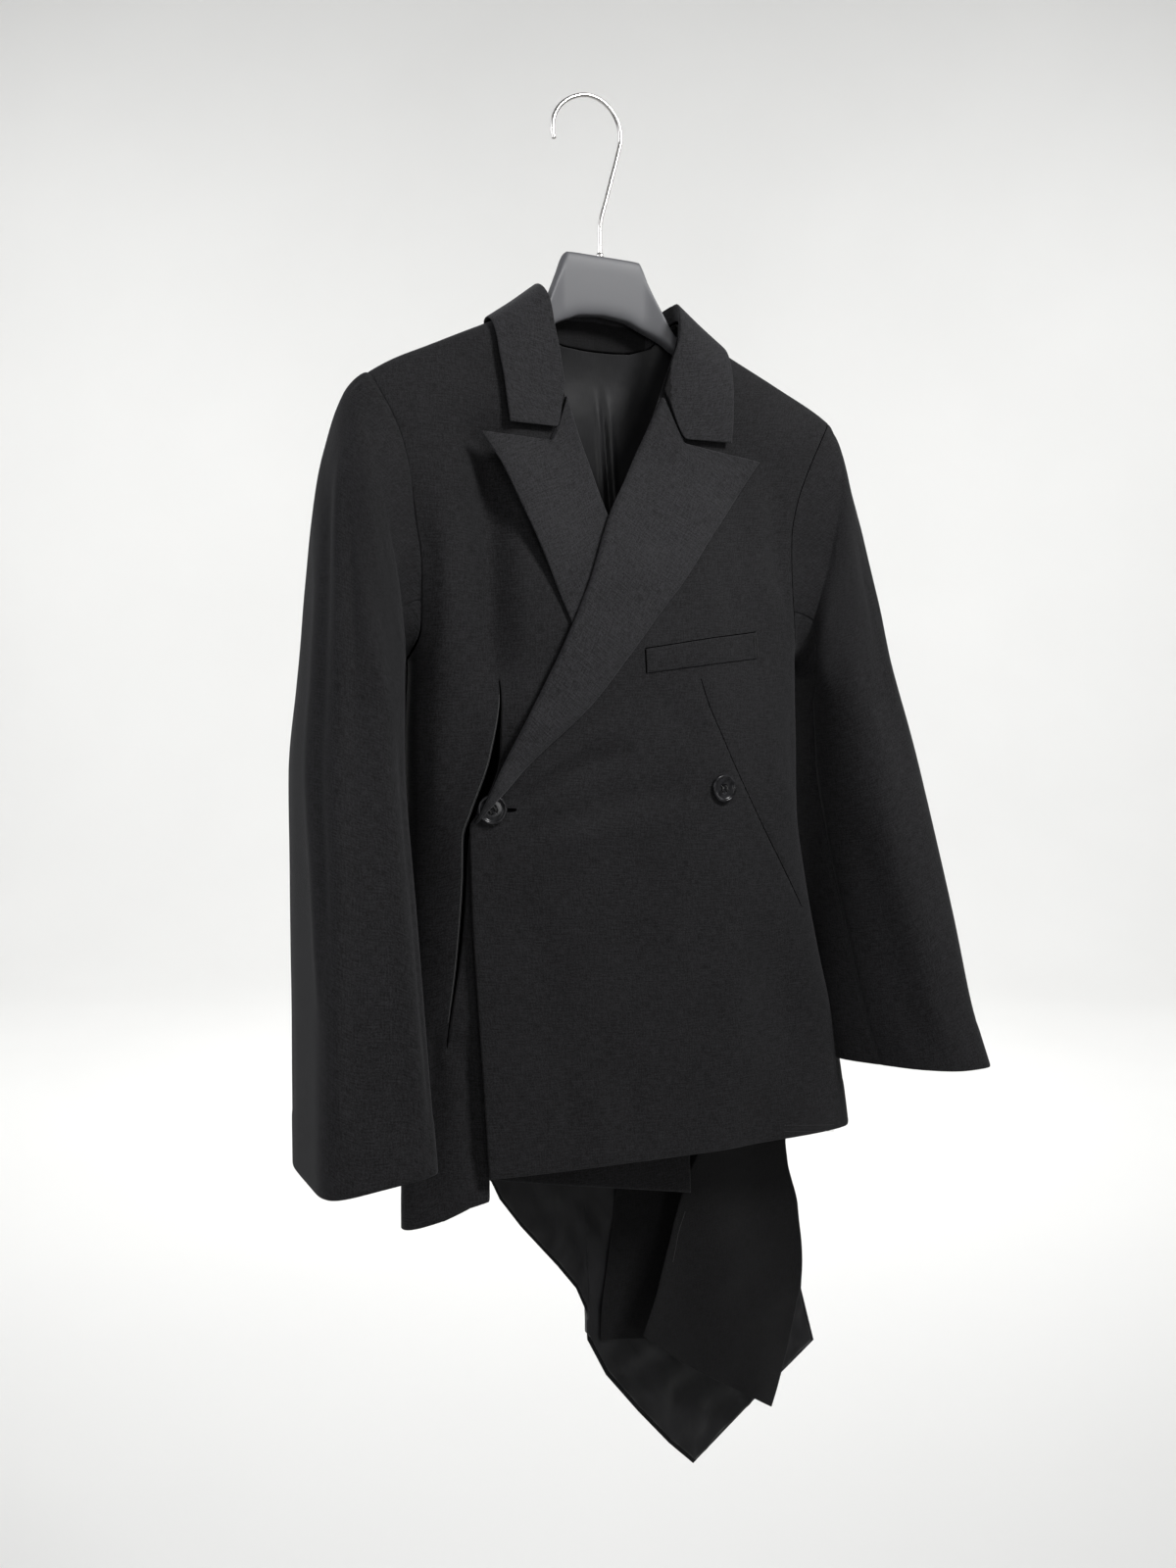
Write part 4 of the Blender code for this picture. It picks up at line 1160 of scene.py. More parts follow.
        z = np.where(z > UNDERARM_Z, UNDERARM_Z + (top - UNDERARM_Z) * share, z)
        gone = len(spread[0])
        open_rows = (heights[1] > SLIT_FOOT - 4) & (heights[1] < SLIT_TOP)
        return x, z, lambda i, j: j == gone and open_rows[i]

    def turned_back(self, x: Array, z: Array) -> Array:
        """How far the under front has turned back behind itself."""
        grown = ease((-450.0 - z) / 220.0)
        line = hermite(z, TURN[:, 0], TURN[:, 1])
        over = ease((x - line + 6.0) / 12.0)
        roll = np.clip((x - line + 24.0) / 24.0, 0.0, 1.0) ** 2
        return (self.turned_depth * grown * over
                + 4.0 * grown * roll * (1.0 - over))

    def lips(self, x: Array, z: Array) -> Array:
        """The slit's folded edges stand up, the outer one more."""
        line = hermite(z, SLIT[:, 0], SLIT[:, 1])
        along = ease((SLIT_TOP - z) / 70.0) * ease((z - SLIT_FOOT) / 70.0)
        high = bell(z + 390.0, 62.0)
        outer = bell(x - line, 14.0) * (x < line + 0.4)
        inner = bell(x - line - 9.0, 17.0) * (x > line + 0.4)
        return along * ((self.lip_height + 2.0 * high) * outer
                        - (1.4 + 7.0 * high) * inner)

    def slit_edge(self, thread: bpy.types.Material) -> bpy.types.Object:
        """A pale tube on the slit's outer lip that paints its edge highlight."""
        z = np.linspace(-337.0, -566.0, 220)
        line = hermite(z, SLIT[:, 0], SLIT[:, 1]) - 0.35
        x = np.stack([line - 0.5, line, line + 0.5], axis=1)
        z = np.repeat(z[:, None], 3, axis=1)
        lift = add_up(FRONT_RIGHT_FOLDS, x, z) * self.off_side(x, z)
        lift = lift + 0.35 * smooth_noise(x, z, 60.0, 5)
        lift = lift + self.lips(line[:, None] + 0.0 * x, z) + 0.62
        path = self.surface(x, z, Side.FRONT, lift)[:, 1]
        return thread_tube("slit_edge_highlight", path, 0.22, thread)

    def back_grid(self) -> tuple[Array, Array]:
        """X and Z of the back's points."""
        s = self.row_places()
        c = samples(self.across, 1.35, 1.0, 0.004) * 0.5
        c = np.unique(np.concatenate([c, 1.0 - c, BACK_HEM[:, 0] / 8.0])) * 8.0
        hem_x = np.interp(c, BACK_HEM[:, 0], BACK_HEM[:, 1])
        hem_z = np.interp(c, BACK_HEM[:, 0], BACK_HEM[:, 2])
        knots = np.arange(9.0)
        under = hermite(c, knots, BACK_GUIDES[:, 2])
        top_x = hermite(c, knots, BACK_GUIDES[:, 3])
        top_z = np.where(np.abs(top_x) >= 60.5, shoulder_z(top_x),
                         [neck_z(v) for v in top_x])
        z = panel_rows(hem_z, top_z, s)
        down = np.clip((z - UNDERARM_Z) / (hem_z - UNDERARM_Z), 0.0, 1.0)
        up = np.clip((z - UNDERARM_Z) / (top_z - UNDERARM_Z), 0.0, 1.0)
        x = np.where(z < UNDERARM_Z, under + (hem_x - under) * down,
                     under + (top_x - under) * up)
        for i in range(len(s)):
            low, high = x[i, 0], x[i, -1]
            end = float(side_x(z[i, -1], Column.LEFT))
            if z[i, -1] < BACK_EDGE[-1, 0]:
                end = float(np.interp(z[i, -1], BACK_EDGE[:, 0],
                                      BACK_EDGE[:, 1]))
            share = np.where(x[i] < 0, x[i] / low, x[i] / high)
            start = -float(side_x(z[i, 0], Column.RIGHT))
            shift = np.where(x[i] < 0, start - low, end - high)
            x[i] += shift * np.clip(share, 0.0, 1.0)
        return x, z

    def back_points(self, x: Array, z: Array, extra: Array) -> Array:
        """Points of the back, which hangs flat below the open vents."""
        hang = ease((-600.0 - z) / 170.0)
        flat = 8.0 + 3.0 * np.sin(x / 55.0)
        y = body_y(x, z, Side.BACK) * (1.0 - hang) + flat * hang
        points = np.stack([x, y, z], -1)
        normals = grid_normals(points, BACKWARD)
        return points + normals * extra[..., None]

    def back(self) -> bpy.types.Object:
        """The back panel with its long pointed tail."""
        x, z = self.back_grid()
        lift = seam_trough(self.seam_reach(x, z, Side.BACK), 0.4)
        lift = lift * ease((z + 640.0) / 60.0)
        creases = add_up(BACK_FOLDS, x, z) + 0.4 * smooth_noise(x, z, 80.0, 8)
        lift = lift + creases * self.off_side(x, z)
        points = self.back_points(x, z, lift)
        points = self.part_at_seam(points, Side.BACK)
        cut = Cut("back", (0.43, 0.96), 0.285, ("hanger_body",))
        return Sheet("back_cloth", points, BACKWARD, cut).build(self.wool)

    def back_lining(self) -> bpy.types.Object:
        """The satin lining with its centre pleat."""
        x, z = self.back_grid()
        x, z = x[2:-2, 3:-3], z[2:-2, 3:-3]
        lift = -2.2 + add_up(BACK_FOLDS, x, z) * self.off_side(x, z)
        line = 6.0 + 10.0 * (-95.0 - z) / 95.0
        away = x - line
        deep = ease((-92.0 - z) / 46.0) * ease((z + 420.0) / 200.0)
        pleat = 2.2 * bell(np.abs(away) - 5.0, 2.6) - 2.6 * bell(away, 2.0)
        lift = lift - deep * pleat
        ripple = smooth_noise(x * 1.3, z * 0.35, 60.0, 11)
        lift = lift - 0.8 * (1.0 + ripple) * ease((-80.0 - z) / 60.0)
        tail = ease((-690.0 - z) / 40.0)
        lift = lift - 1.3 * tail * (1.0 + smooth_noise(x, z, 34.0, 13))
        crumple = np.abs(smooth_noise(x + 0.6 * z, z, 30.0, 17))
        lift = lift + 1.5 * tail * (0.4 - crumple)
        points = self.back_points(x, z, lift)
        cut = Cut("back_lining", (0.42, 0.945), 0.27, ("back_cloth",), "lining")
        return Sheet("back_lining_satin", points, BACKWARD, cut,
                     thick=0.5).build(self.lining)


def ridge_point(x: float, girth: float, height: float) -> Array:
    """A point round the shoulder.

    Args:
        x: distance from the centre.
        girth: 0 on the shoulder seam, negative in front, positive behind.
        height: distance off the body.

    Returns:
        The point in millimetres.
    """
    quarter = 66.0
    turn = min(abs(girth) / quarter, 1.0) * math.pi / 2
    drop = RIDGE_DROP * (1.0 - math.cos(turn))
    drop += max(abs(girth) - quarter, 0.0)
    side = Side.BACK if girth >= 0.0 else Side.FRONT
    z = float(shoulder_z(x)) - max(drop, 0.01)
    step = 0.02
    inward = -1.0 if x > 0.0 else 1.0
    xs = np.array([x, x + inward * step, x])
    zs = np.array([z, z, z - step])
    y = body_y(xs, zs, side)
    slope_x = (y[1] - y[0]) / (inward * step)
    slope_z = (y[0] - y[2]) / step
    normal = unit(side.value * np.array([-slope_x, 1.0, -slope_z]))
    return np.array([x, y[0], z]) + normal * height


def neck_z(x: float) -> float:
    """The back's neckline, just under the collar stand's foot."""
    feet = np.array([ridge_point(*row[:3]) for row in COLLAR[3:]])[::-1]
    return float(np.interp(abs(x), feet[:, 0], feet[:, 2])) - 1.6


def lapel_left_lift(x: Array, z: Array) -> Array:
    """How far the front and the edge button raise the left lapel."""
    away = ((x + 127.0) / 26.0) ** 2 + ((z + 414.0) / 24.0) ** 2
    return overlap_lift(x, z) + 4.8 * bell(away, 1.0)


@dataclass
class Neckwear:
    """The lapels and the collar, all turned back and pressed flat."""

    # A lighter copy of the wool that paints the light on the lapels and collar.
    wool: bpy.types.Material
    # A darker copy of the wool that paints the shade on the stand's inner side.
    stand: bpy.types.Material
    roll_degrees: tuple[float, ...] = (-86, -60, -34, -8, 18, 44, 68)
    roll_tail: float = 7.0
    stand_top: float = -47.0
    stand_bend: float = 0.00028
    stand_span: float = 44.0

    def lapel(self, cut: Cut, stations: Array,
              extra: Callable[[Array, Array], Array], stand: Sequence[float],
              folds: Sequence[Fold] = (), tucked: float = 0.0
              ) -> bpy.types.Object:
        """One lapel with its rolled edge.

        Args:
            cut: its cut and the solid that it stands for.
            stations: its table of roll, middle and edge.
            extra: how far the front under it is raised.
            stand: how far its free edge springs up, from the top down.
            folds: its soft creases.
            tucked: 1 if its foot lies flat under the other front.

        Returns:
            The lapel's object.
        """
        v = samples(120, rim=0.002) * (len(stations) - 1)
        rows = hermite(v, np.arange(float(len(stations))), stations)
        u = samples(44, rim=0.008)
        knots = np.array([0.0, 0.5, 1.0])
        x, z = (np.stack([np.interp(u, knots, row[k::2]) for row in rows])
                for k in range(2))
        edge = np.hypot(x[:, -1:] - x, z[:, -1:] - z)
        top = np.hypot(x[:1] - x, z[:1] - z)
        hidden = ease((v - 2.5) / 1.5)[:, None] * tucked
        belly = 3.0 + 1.2 * ease(edge / 16.0) * ease(top / 20.0)
        belly = belly - hidden * (belly - 2.3)
        belly = belly + 0.5 * bell(top, 5.0) * (1.0 - u) ** 2
        rise = hermite(v, np.linspace(0, len(stations) - 1, len(stand)),
                       np.array(stand, float))
        lift = extra(x, z) + belly + rise[:, None] * u ** 1.6
        lift = lift - 0.6 * bell(edge, 3.0) + add_up(folds, x, z)
        lift = lift + 0.22 * smooth_noise(x, z, 36.0, 21)
        points = np.stack([x, body_y(x, z, Side.FRONT), z], -1)
        normals = grid_normals(points, FORWARD)
        points = points + normals * lift[..., None]
        points = self.with_roll(points, normals, lift - extra(x, z))
        return Sheet(cut.node + "_cloth", points, FORWARD, cut
                     ).build(self.wool)

    def with_roll(self, points: Array, normals: Array, lift: Array) -> Array:
        """Let the lapel roll round the front's edge to its inner side.

        Args:
            points: the lapel's flat grid, from the roll to the free edge.
            normals: its normals.
            lift: how far it stands off the front.

        Returns:
            The grid with a tucked end and a round roll before it.
        """
        inward = unit(points[:, 3] - points[:, 0])
        out = normals[:, 0]
        radius = np.clip(lift[:, :1] / 2.0 + 0.6, 1.6, 3.2)
        flat_from = points[:, 0] + inward * (radius + 0.4)
        centre = flat_from - out * radius
        roll = np.stack([centre - inward * radius * math.cos(angle)
                         + out * radius * math.sin(angle)
                         for angle in np.radians(self.roll_degrees)], axis=1)
        tail = roll[:, :1] + inward[:, None] * self.roll_tail
        along = np.linalg.norm(points - points[:, :1], axis=2)
        near = (along < radius + 0.6)[..., None]
        pressed = flat_from[:, None] + 0.001 * along[..., None]
        leaf = np.where(near, pressed, points)
        return np.concatenate([tail, roll, leaf[:, 3:]], axis=1)

    def collar(self) -> bpy.types.Object:
        """The collar: stand, fold and leaf in one cloth."""
        left, right = self.collar_half(-1.0), self.collar_half(1.0)
        right = right[:-1][::-1].copy()
        right[..., 0] *= -1.0
        points = np.concatenate([left, right])
        cut = Cut("collar", (0.46, 0.09), 0.026,
                  ("back_cloth", "front_left_cloth"), "wool_facing", "folded")
        made = Sheet("collar_cloth", points, UPWARD, cut).build(self.wool)
        # The stand's inner faces take the darker wool, painted shade.
        made.data.materials.append(self.stand)
        inside = [self.gets_painted_shade(face) for face in made.data.polygons]
        made.data.polygons.foreach_set("material_index",
                                       np.array(inside, dtype=np.int32))
        return made

    def gets_painted_shade(self, face: bpy.types.MeshPolygon) -> bool:
        """Whether a collar face is on the stand's inner side, painted dark as shade.
        """
        x, _, z = np.array(face.center) / MM + ORIGIN
        low = z + self.stand_bend * x ** 2 < self.stand_top
        return bool(low and abs(x) < self.stand_span and face.normal.y < 0.0)

    def collar_half(self, lean: float) -> Array:
        """Points of one half, from its front end to the centre back."""
        stations = COLLAR.copy()
        stations[:, [0, 3]] += lean * COLLAR_LEAN[:, None]
        count = len(stations)
        v = samples(70, rim=0.004)[:-2] * (count - 1)
        v = np.append(v, count - 1.0)
        rows = hermite(v, np.arange(float(count)), stations)
        u = samples(36, rim=0.01)
        grid = []
        for place, row in zip(v, rows):
            foot, fold, edge = (ridge_point(*row[k:k + 3])
                                for k in (0, 3, 6))
            middle = 0.5 * (row[3:6] + row[6:9])
            middle[:2] += (NOTCH - middle[:2]) * ease(1.0 - place)
            middle[2] = 0.45 * row[5] + 0.55 * row[8]
            leaf = ridge_point(*middle)
            near = fold * 0.8 + leaf * 0.2
            far = 0.5 * leaf + 0.5 * edge
            knots = np.array([0.0, 0.16, 0.3, 0.42, 0.62, 0.82, 1.0])
            line = np.array([foot, foot * 0.45 + fold * 0.55, fold, near,
                             leaf, far, edge])
            grid.append(hermite(u, knots, line))
        return np.array(grid)


@dataclass
class Sleeve:
    """One two-piece sleeve with a full head and an open cuff."""

    wool: bpy.types.Material
    side: str
    table: Array
    column: Column
    sunk: float = 0.1
    square: float = 0.0
    square_cuff: float = 0.0
    seam_low: tuple[float, float] = (180.0, 255.0)
    seam_high: float = 127.16
    seam_gap: float = 0.012
    lap: float = 2.0

    @property
    def hand(self) -> float:
        """1 for the left sleeve and -1 for the right one."""
        return 1.0 if self.column is Column.LEFT else -1.0

    def armhole_loop(self, angles: Array) -> tuple[Array, Array]:
        """The armhole seam at these angles and the body's normals there."""
        middle = (HEAD_Z + UNDERARM_Z) / 2.0
        half = (HEAD_Z - UNDERARM_Z) / 2.0
        z = np.clip(middle + half * np.cos(angles), UNDERARM_Z + 0.02,
                    HEAD_Z - 0.02)
        x = hermite(z, ARMHOLE[:, 0], ARMHOLE[:, self.column]) * self.hand
        loops = []
        step = 0.02
        inward = -self.hand * step
        for side in (Side.FRONT, Side.BACK):
            y = body_y(x, z, side)
            slope_x = (body_y(x + inward, z, side) - y) / inward
            slope_z = (y - body_y(x, z - step, side)) / step
            normal = side.value * np.stack(
                [-slope_x, np.ones_like(y), -slope_z], -1)
            loops.append((np.stack([x, y, z], -1), unit(normal)))
        front = (np.sin(angles) >= 0.0)[:, None]
        return tuple(np.where(front, ahead, behind)
                     for ahead, behind in zip(*loops))

    def rings(self, angles: Array, low: Array) -> Array:
        """The sleeve's points from the armhole to the cuff.

        Args:
            angles: turns round the armhole, 0 at the top.
            low: turns of the same columns from the elbow down.

        Returns:
            A grid of points, a row for each ring.
        """
        hand = np.array([self.hand, 1.0, 1.0])
        seam, normal = self.armhole_loop(angles)
        before = self.armhole_loop(angles - 0.01)[0]
        after = self.armhole_loop(angles + 0.01)[0]
        outward = np.cross(unit(after - before), normal)
        lean = np.array([1.0, 0.0, 0.35]) * hand
        outward *= np.sign((outward * lean).sum(axis=1))[:, None]
        under = ease((np.abs(np.degrees(angles)) - 100.0) / 70.0)[:, None]
        over = 1.0 - under
        aside = np.array([1.4, 0.0, 0.0]) * hand * under
        lap = seam + aside + outward * (1.4 * under - 1.5 * over)
        lap = lap - normal * 1.6 * over
        rise = seam + aside + outward * (2.2 * under + 1.1 * over)
        rise = rise - normal * self.sunk * over
        shapes = [lap, rise]
        for k, row in enumerate(self.table):
            outer_x, outer_z, inner_x, inner_z, middle_y, depth, turn = row
            at = angles + (low - angles) * ease(k / 5.0)
            boxy = 1.0 - (0.27 + self.square) * ease((k + 0.4) / 2.0)
            boxy -= self.square_cuff * ease((k - 4.0) / 4.0)
            front = 0.70 + 0.30 * float(ease((k - 2.0) / 5.0))
            c = signed_power(np.cos(at), boxy)
            s = signed_power(np.sin(at), boxy)
            deep = depth * np.where(s > 0.0, front, 1.0)
            across = (1.0 + c) / 2.0
            ring = np.stack([inner_x + (outer_x - inner_x) * across + turn * s,
                             middle_y - deep * s,
                             inner_z + (outer_z - inner_z) * across], axis=1)
            shapes.append(ring * hand)
        knots = np.array([-0.62, -0.5, *range(len(self.table))])
        places = samples(150, 1.2, 1.0, 0.002)
        places = knots[0] + (knots[-1] - knots[0]) * places
        stacked = np.array(shapes).reshape(len(shapes), -1)
        grid = hermite(places, knots, stacked)
        return grid.reshape(len(places), len(angles), 3)

    def build(self) -> list[bpy.types.Object]:
        """Build the top and the under piece, which laps a little beneath it."""
        seam, gap, lap = self.seam_high, self.seam_gap, self.lap
        front, back = self.seam_low
        top = self.part("top", (-seam + gap, seam - gap),
                        (back - 359.95, front - 0.02), 110,
                        (0.25, 0.60), 0.112)
        under = self.part("under", (seam - lap, 360.0 - seam + lap),
                          (front - lap, back + lap), 60,
                          (0.085, 0.39), 0.023)
        return [top, under]

    def part(self, part: str, high: tuple[float, float],
             low: tuple[float, float], count: int,
             flat: tuple[float, float], area: float) -> bpy.types.Object:
        """One of the sleeve's two pieces.

        Args:
            part: top or under.
            high: its first and last turn at the armhole, in degrees.
            low: the same from the elbow down.
            count: how many columns it has.
            flat: the cut's width and length in metres.
            area: the cut's area in square metres.

        Returns:
            The piece's object.
        """
        t = samples(count, rim=0.004)
        angles = np.radians(high[0] + (high[1] - high[0]) * t)
        lower = np.radians(low[0] + (low[1] - low[0]) * t)
        points = self.rings(angles, lower)
        points = self.draped(points, np.degrees(lower), part)
        axis = points.mean(axis=1, keepdims=True)
        node = f"sleeve_{part}_{self.side}"
        cut = Cut(node, flat, area, (f"front_{self.side}_cloth",))
        return Sheet(node + "_cloth", points, points - axis, cut,
                     column_rim=1.0).build(self.wool)

    def paint_armhole_shade(self, thread: bpy.types.Material) -> bpy.types.Object:
        """A dark tube on the armhole seam at the front that paints its shade line.
        """
        angles = np.radians(np.linspace(6.0, 150.0, 120))
        seam, normal = self.armhole_loop(angles)
        return thread_tube(f"armhole_shade_line_{self.side}",
                           seam + normal * 0.25, 0.5, thread)

    def draped(self, points: Array, round_at: Array, part: str) -> Array:
        """Give the sleeve its soft creases, head gathers, seams and hem."""
        axis = points.mean(axis=1, keepdims=True)
        normals = grid_normals(points, points - axis)
        z = points[..., 2]
        turn = np.broadcast_to(round_at, z.shape)
        lift = 0.5 * smooth_noise(turn * 1.1, z * 0.35, 46.0, 31 + self.column)
        lift = lift * ease((-150.0 - z) / 60.0)
        head = bell(np.arange(len(points)) - 9.0, 6.0)[:, None]
        lift = lift + 0.35 * head * np.sin(np.radians(turn) * 26.0) * ease(
            (70.0 - np.abs(turn)) / 20.0)
        for degrees, z_top, z_foot, height, wide in SLEEVE_CREASES[self.side]:
            span = ease((z_top - z) / 60.0) * ease((z - z_foot) / 60.0)
            lift = lift + height * span * bell(turn - degrees, wide)
        width = np.linalg.norm(points[:, 1:] - points[:, :-1], axis=2)
        run = np.concatenate([np.zeros((len(points), 1)),
                              np.cumsum(width, axis=1)], axis=1)
        to_seam = np.minimum(run, run[:, -1:] - run)
        low = ease((-336.0 - z) / 50.0)
        if part == "under":
            tuck = 0.3 + 1.3 * low
            lift = lift - tuck * ease((5.0 - to_seam) / 3.5)
        else:
            lift = lift + seam_trough(to_seam, 0.5, 1.6) * low
        up = np.linalg.norm(points - points[-1:], axis=2)
        lift = lift + 0.4 * ease((36.0 - up) / 5.0)
        return points + normals * lift[..., None]


# Creases on the sleeves: degrees round, top, foot, height, half width.
SLEEVE_CREASES = {
    "left": ((62, -150, -320, 2.2, 7), (88, -190, -420, -1.8, 12),
             (40, -300, -600, 1.4, 14), (150, -420, -640, -2.4, 16),
             (120, -380, -640, 1.4, 12)),
    "right": ((20, -150, -560, 1.8, 9), (40, -170, -520, -1.8, 9),
              (62, -150, -640, 1.9, 10), (84, -200, -640, -2.0, 10),
              (104, -240, -660, 2.2, 10), (-20, -260, -660, -1.4, 14),
              (128, -330, -640, -2.2, 12))}


@dataclass
class Tail:
    """The panel in the left vent and the strip behind it, painted dark as shade."""

    # A darker copy of the wool that paints the shade on the panel and strip.
    wool: bpy.types.Material

    def panel(self) -> bpy.types.Object:
        """The side panel with its slanted foot."""
        rows = hermite(samples(110, rim=0.003) * 6.0, np.arange(7.0), SIDE_TAIL)
        t = samples(60, rim=0.006)
        x, z, y = (between(rows, *ends, t) for ends in ((0, 2), (1, 3), (4, 5)))
        foot_t = np.linspace(0.0, 1.0, len(SIDE_TAIL_FOOT))
        pull = ease(np.linspace(-2.0, 1.0, len(rows)))[:, None]
        x = x + pull * (np.interp(t, foot_t, SIDE_TAIL_FOOT[:, 0]) - x[-1:])
        z = z + pull * (np.interp(t, foot_t, SIDE_TAIL_FOOT[:, 1]) - z[-1:])
        calm = ease((-560.0 - z) / 60.0)
        y = y + calm * (2.0 * np.sin(x / 18.0 + z / 60.0)
                        + 0.9 * smooth_noise(x, z, 50.0, 41))
        cut = Cut("side_tail", (0.175, 0.40), 0.037, ("back_lining_satin",))
        return Sheet("side_tail_cloth", np.stack([x, y, z], -1), FORWARD,
                     cut).build(self.wool)

    def strip(self) -> bpy.types.Object:
        """The narrow strip that shows behind the panel."""
        rows = hermite(samples(80, rim=0.004) * 4.0, np.arange(5.0),
                       TAIL_UNDERLAP)
        t = samples(40, rim=0.008)
        x, z = between(rows, 0, 2, t), between(rows, 1, 3, t)
        y = 1.0 - 10.0 * ease((z + 745.0) / 50.0) + 1.6 * np.sin(x / 14.0)
        head = ease((z + 715.0) / 75.0)
        y = y * (1.0 - head) + 0.5 * head
        cut = Cut("tail_underlap", (0.12, 0.245), 0.022,
                  ("back_lining_satin",))
        return Sheet("tail_underlap_cloth", np.stack([x, y, z], -1), FORWARD,
                     cut).build(self.wool)


def front_place(x: Array, z: Array, off: float) -> tuple[Array, Array]:
    """Points off the overlapping front's outer face, and its normals.

    Args:
        x: distances from the centre.
        z: heights.
        off: distance off the cloth's face.

    Returns:
        The points and the unit normals.
    """
    x, z = np.asarray(x, float), np.asarray(z, float)
    step = 0.5
    y = body_y(x, z, Side.FRONT)
    slope_x = (body_y(x + step, z, Side.FRONT)
               - body_y(x - step, z, Side.FRONT)) / (2 * step)
    slope_z = (body_y(x, z + step, Side.FRONT)
               - body_y(x, z - step, Side.FRONT)) / (2 * step)
    normal = -unit(np.stack([-slope_x, np.ones_like(y), -slope_z], -1))
    lift = overlap_lift(x, z) + CLOTH / 2 + off + left_creases(x, z)
    return np.stack([x, y, z], -1) + normal * lift[..., None], normal


def thread_tube(name: str, path: Array, radius: float,
                finish: bpy.types.Material, sides: int = 6
                ) -> bpy.types.Object:
    """A closed round thread along a path.

    Args:
        name: the piece's name.
        path: its points in millimetres.
        radius: its radius in millimetres.
        finish: its material.
        sides: how many sides its section has.

    Returns:
        The thread's object.
    """
    verts, faces = tube(path, radius, sides)
    return add_piece(name, verts, faces, finish)


def tube(path: Array, radius: float | Array, sides: int
         ) -> tuple[Array, FaceList]:
    """Points and faces of a closed tube along a path.

    Args:
        path: its points in millimetres.
        radius: its radius, or one for each point.
        sides: how many sides its section has.

    Returns:
        The points and the faces.
    """
    path = np.asarray(path, float)
    tangent = np.gradient(path, axis=0)
    tangent /= np.maximum(np.linalg.norm(tangent, axis=1, keepdims=True), 1e-9)
    across = np.cross(tangent[0], [0.0, 1.0, 0.0])
    if np.linalg.norm(across) < 0.3:
        across = np.cross(tangent[0], [1.0, 0.0, 0.0])
    radii = np.broadcast_to(radius, (len(path),))
    turns = full_circle(sides)
    rings = []
    for point, way, size in zip(path, tangent, radii):
        across = unit(across - way * float(across @ way))
        other = np.cross(way, across)
        rings.append(point + size * (np.cos(turns)[:, None] * across
                                     + np.sin(turns)[:, None] * other))
    last = (len(path) - 1) * sides
    faces = [tuple(range(sides))[::-1], *band_faces(len(path), sides),
             tuple(range(last, last + sides))]
    return np.concatenate(rings), faces


@dataclass
class Welt:
    """The breast pocket's welt with its stitched ends."""

    wool: bpy.types.Material
    thread: bpy.types.Material
    thread_and_shade_line: bpy.types.Material

    def build(self) -> bpy.types.Object:
        """Build the welt, the painted shade lines on its edges and its end stitches.
        """
        t = samples(80, rim=0.004)
        s = samples(20, rim=0.02)[:, None]
        x = -4.0 + 104.0 * t + 0.0 * s
        low = -322.0 + 13.0 * t
        high = -304.5 + 15.5 * t
        z = low * (1 - s) + high * s
        rise = 0.55 + 0.25 * np.sin(math.pi * s) + 0.35 * s ** 4
        points = front_place(x, z, 0.0)[0] + FORWARD * rise[..., None]
        cut = Cut("welt_pocket", (0.107, 0.02), 0.0021, ("front_left_cloth",))
        made = Sheet("welt_cloth", points, FORWARD, cut,
                     thick=1.0).build(self.wool)
        self.edges()
        self.end_stitches()
        return made

    def edges(self) -> None:
        """Dark tubes along the welt's edges that paint its shade lines on the front.
        """
        for name, start, end, radius in (
                ("lower", (-4.0, -321.6), (100.0, -308.7), 0.45),
                ("left", (-4.2, -321.6), (-4.2, -305.0), 0.45),
                ("upper", (-4.0, -304.1), (100.0, -288.6), 0.3),
                ("right", (100.3, -308.7), (100.3, -288.8), 0.3)):
            x, z = np.linspace(start, end, 90).T
            path, _ = front_place(x, z, 0.15)
            thread_tube(f"welt_{name}_thread", path, radius, self.thread_and_shade_line)

    def end_stitches(self) -> None:
        """The two rows that hold the welt's outer end."""
        count = 40
        z = np.linspace(-308.0, -291.5, count)
        stitches = np.abs(np.sin(np.linspace(0.0, 28.26, count)))
        for k, column in enumerate((97.0, 99.6)):
            path, _ = front_place(np.full(count, column), z, 1.55)
            path[:, 1] -= 0.25 * stitches
            thread_tube(f"welt_end_stitch_{k}", path, 0.22, self.thread)


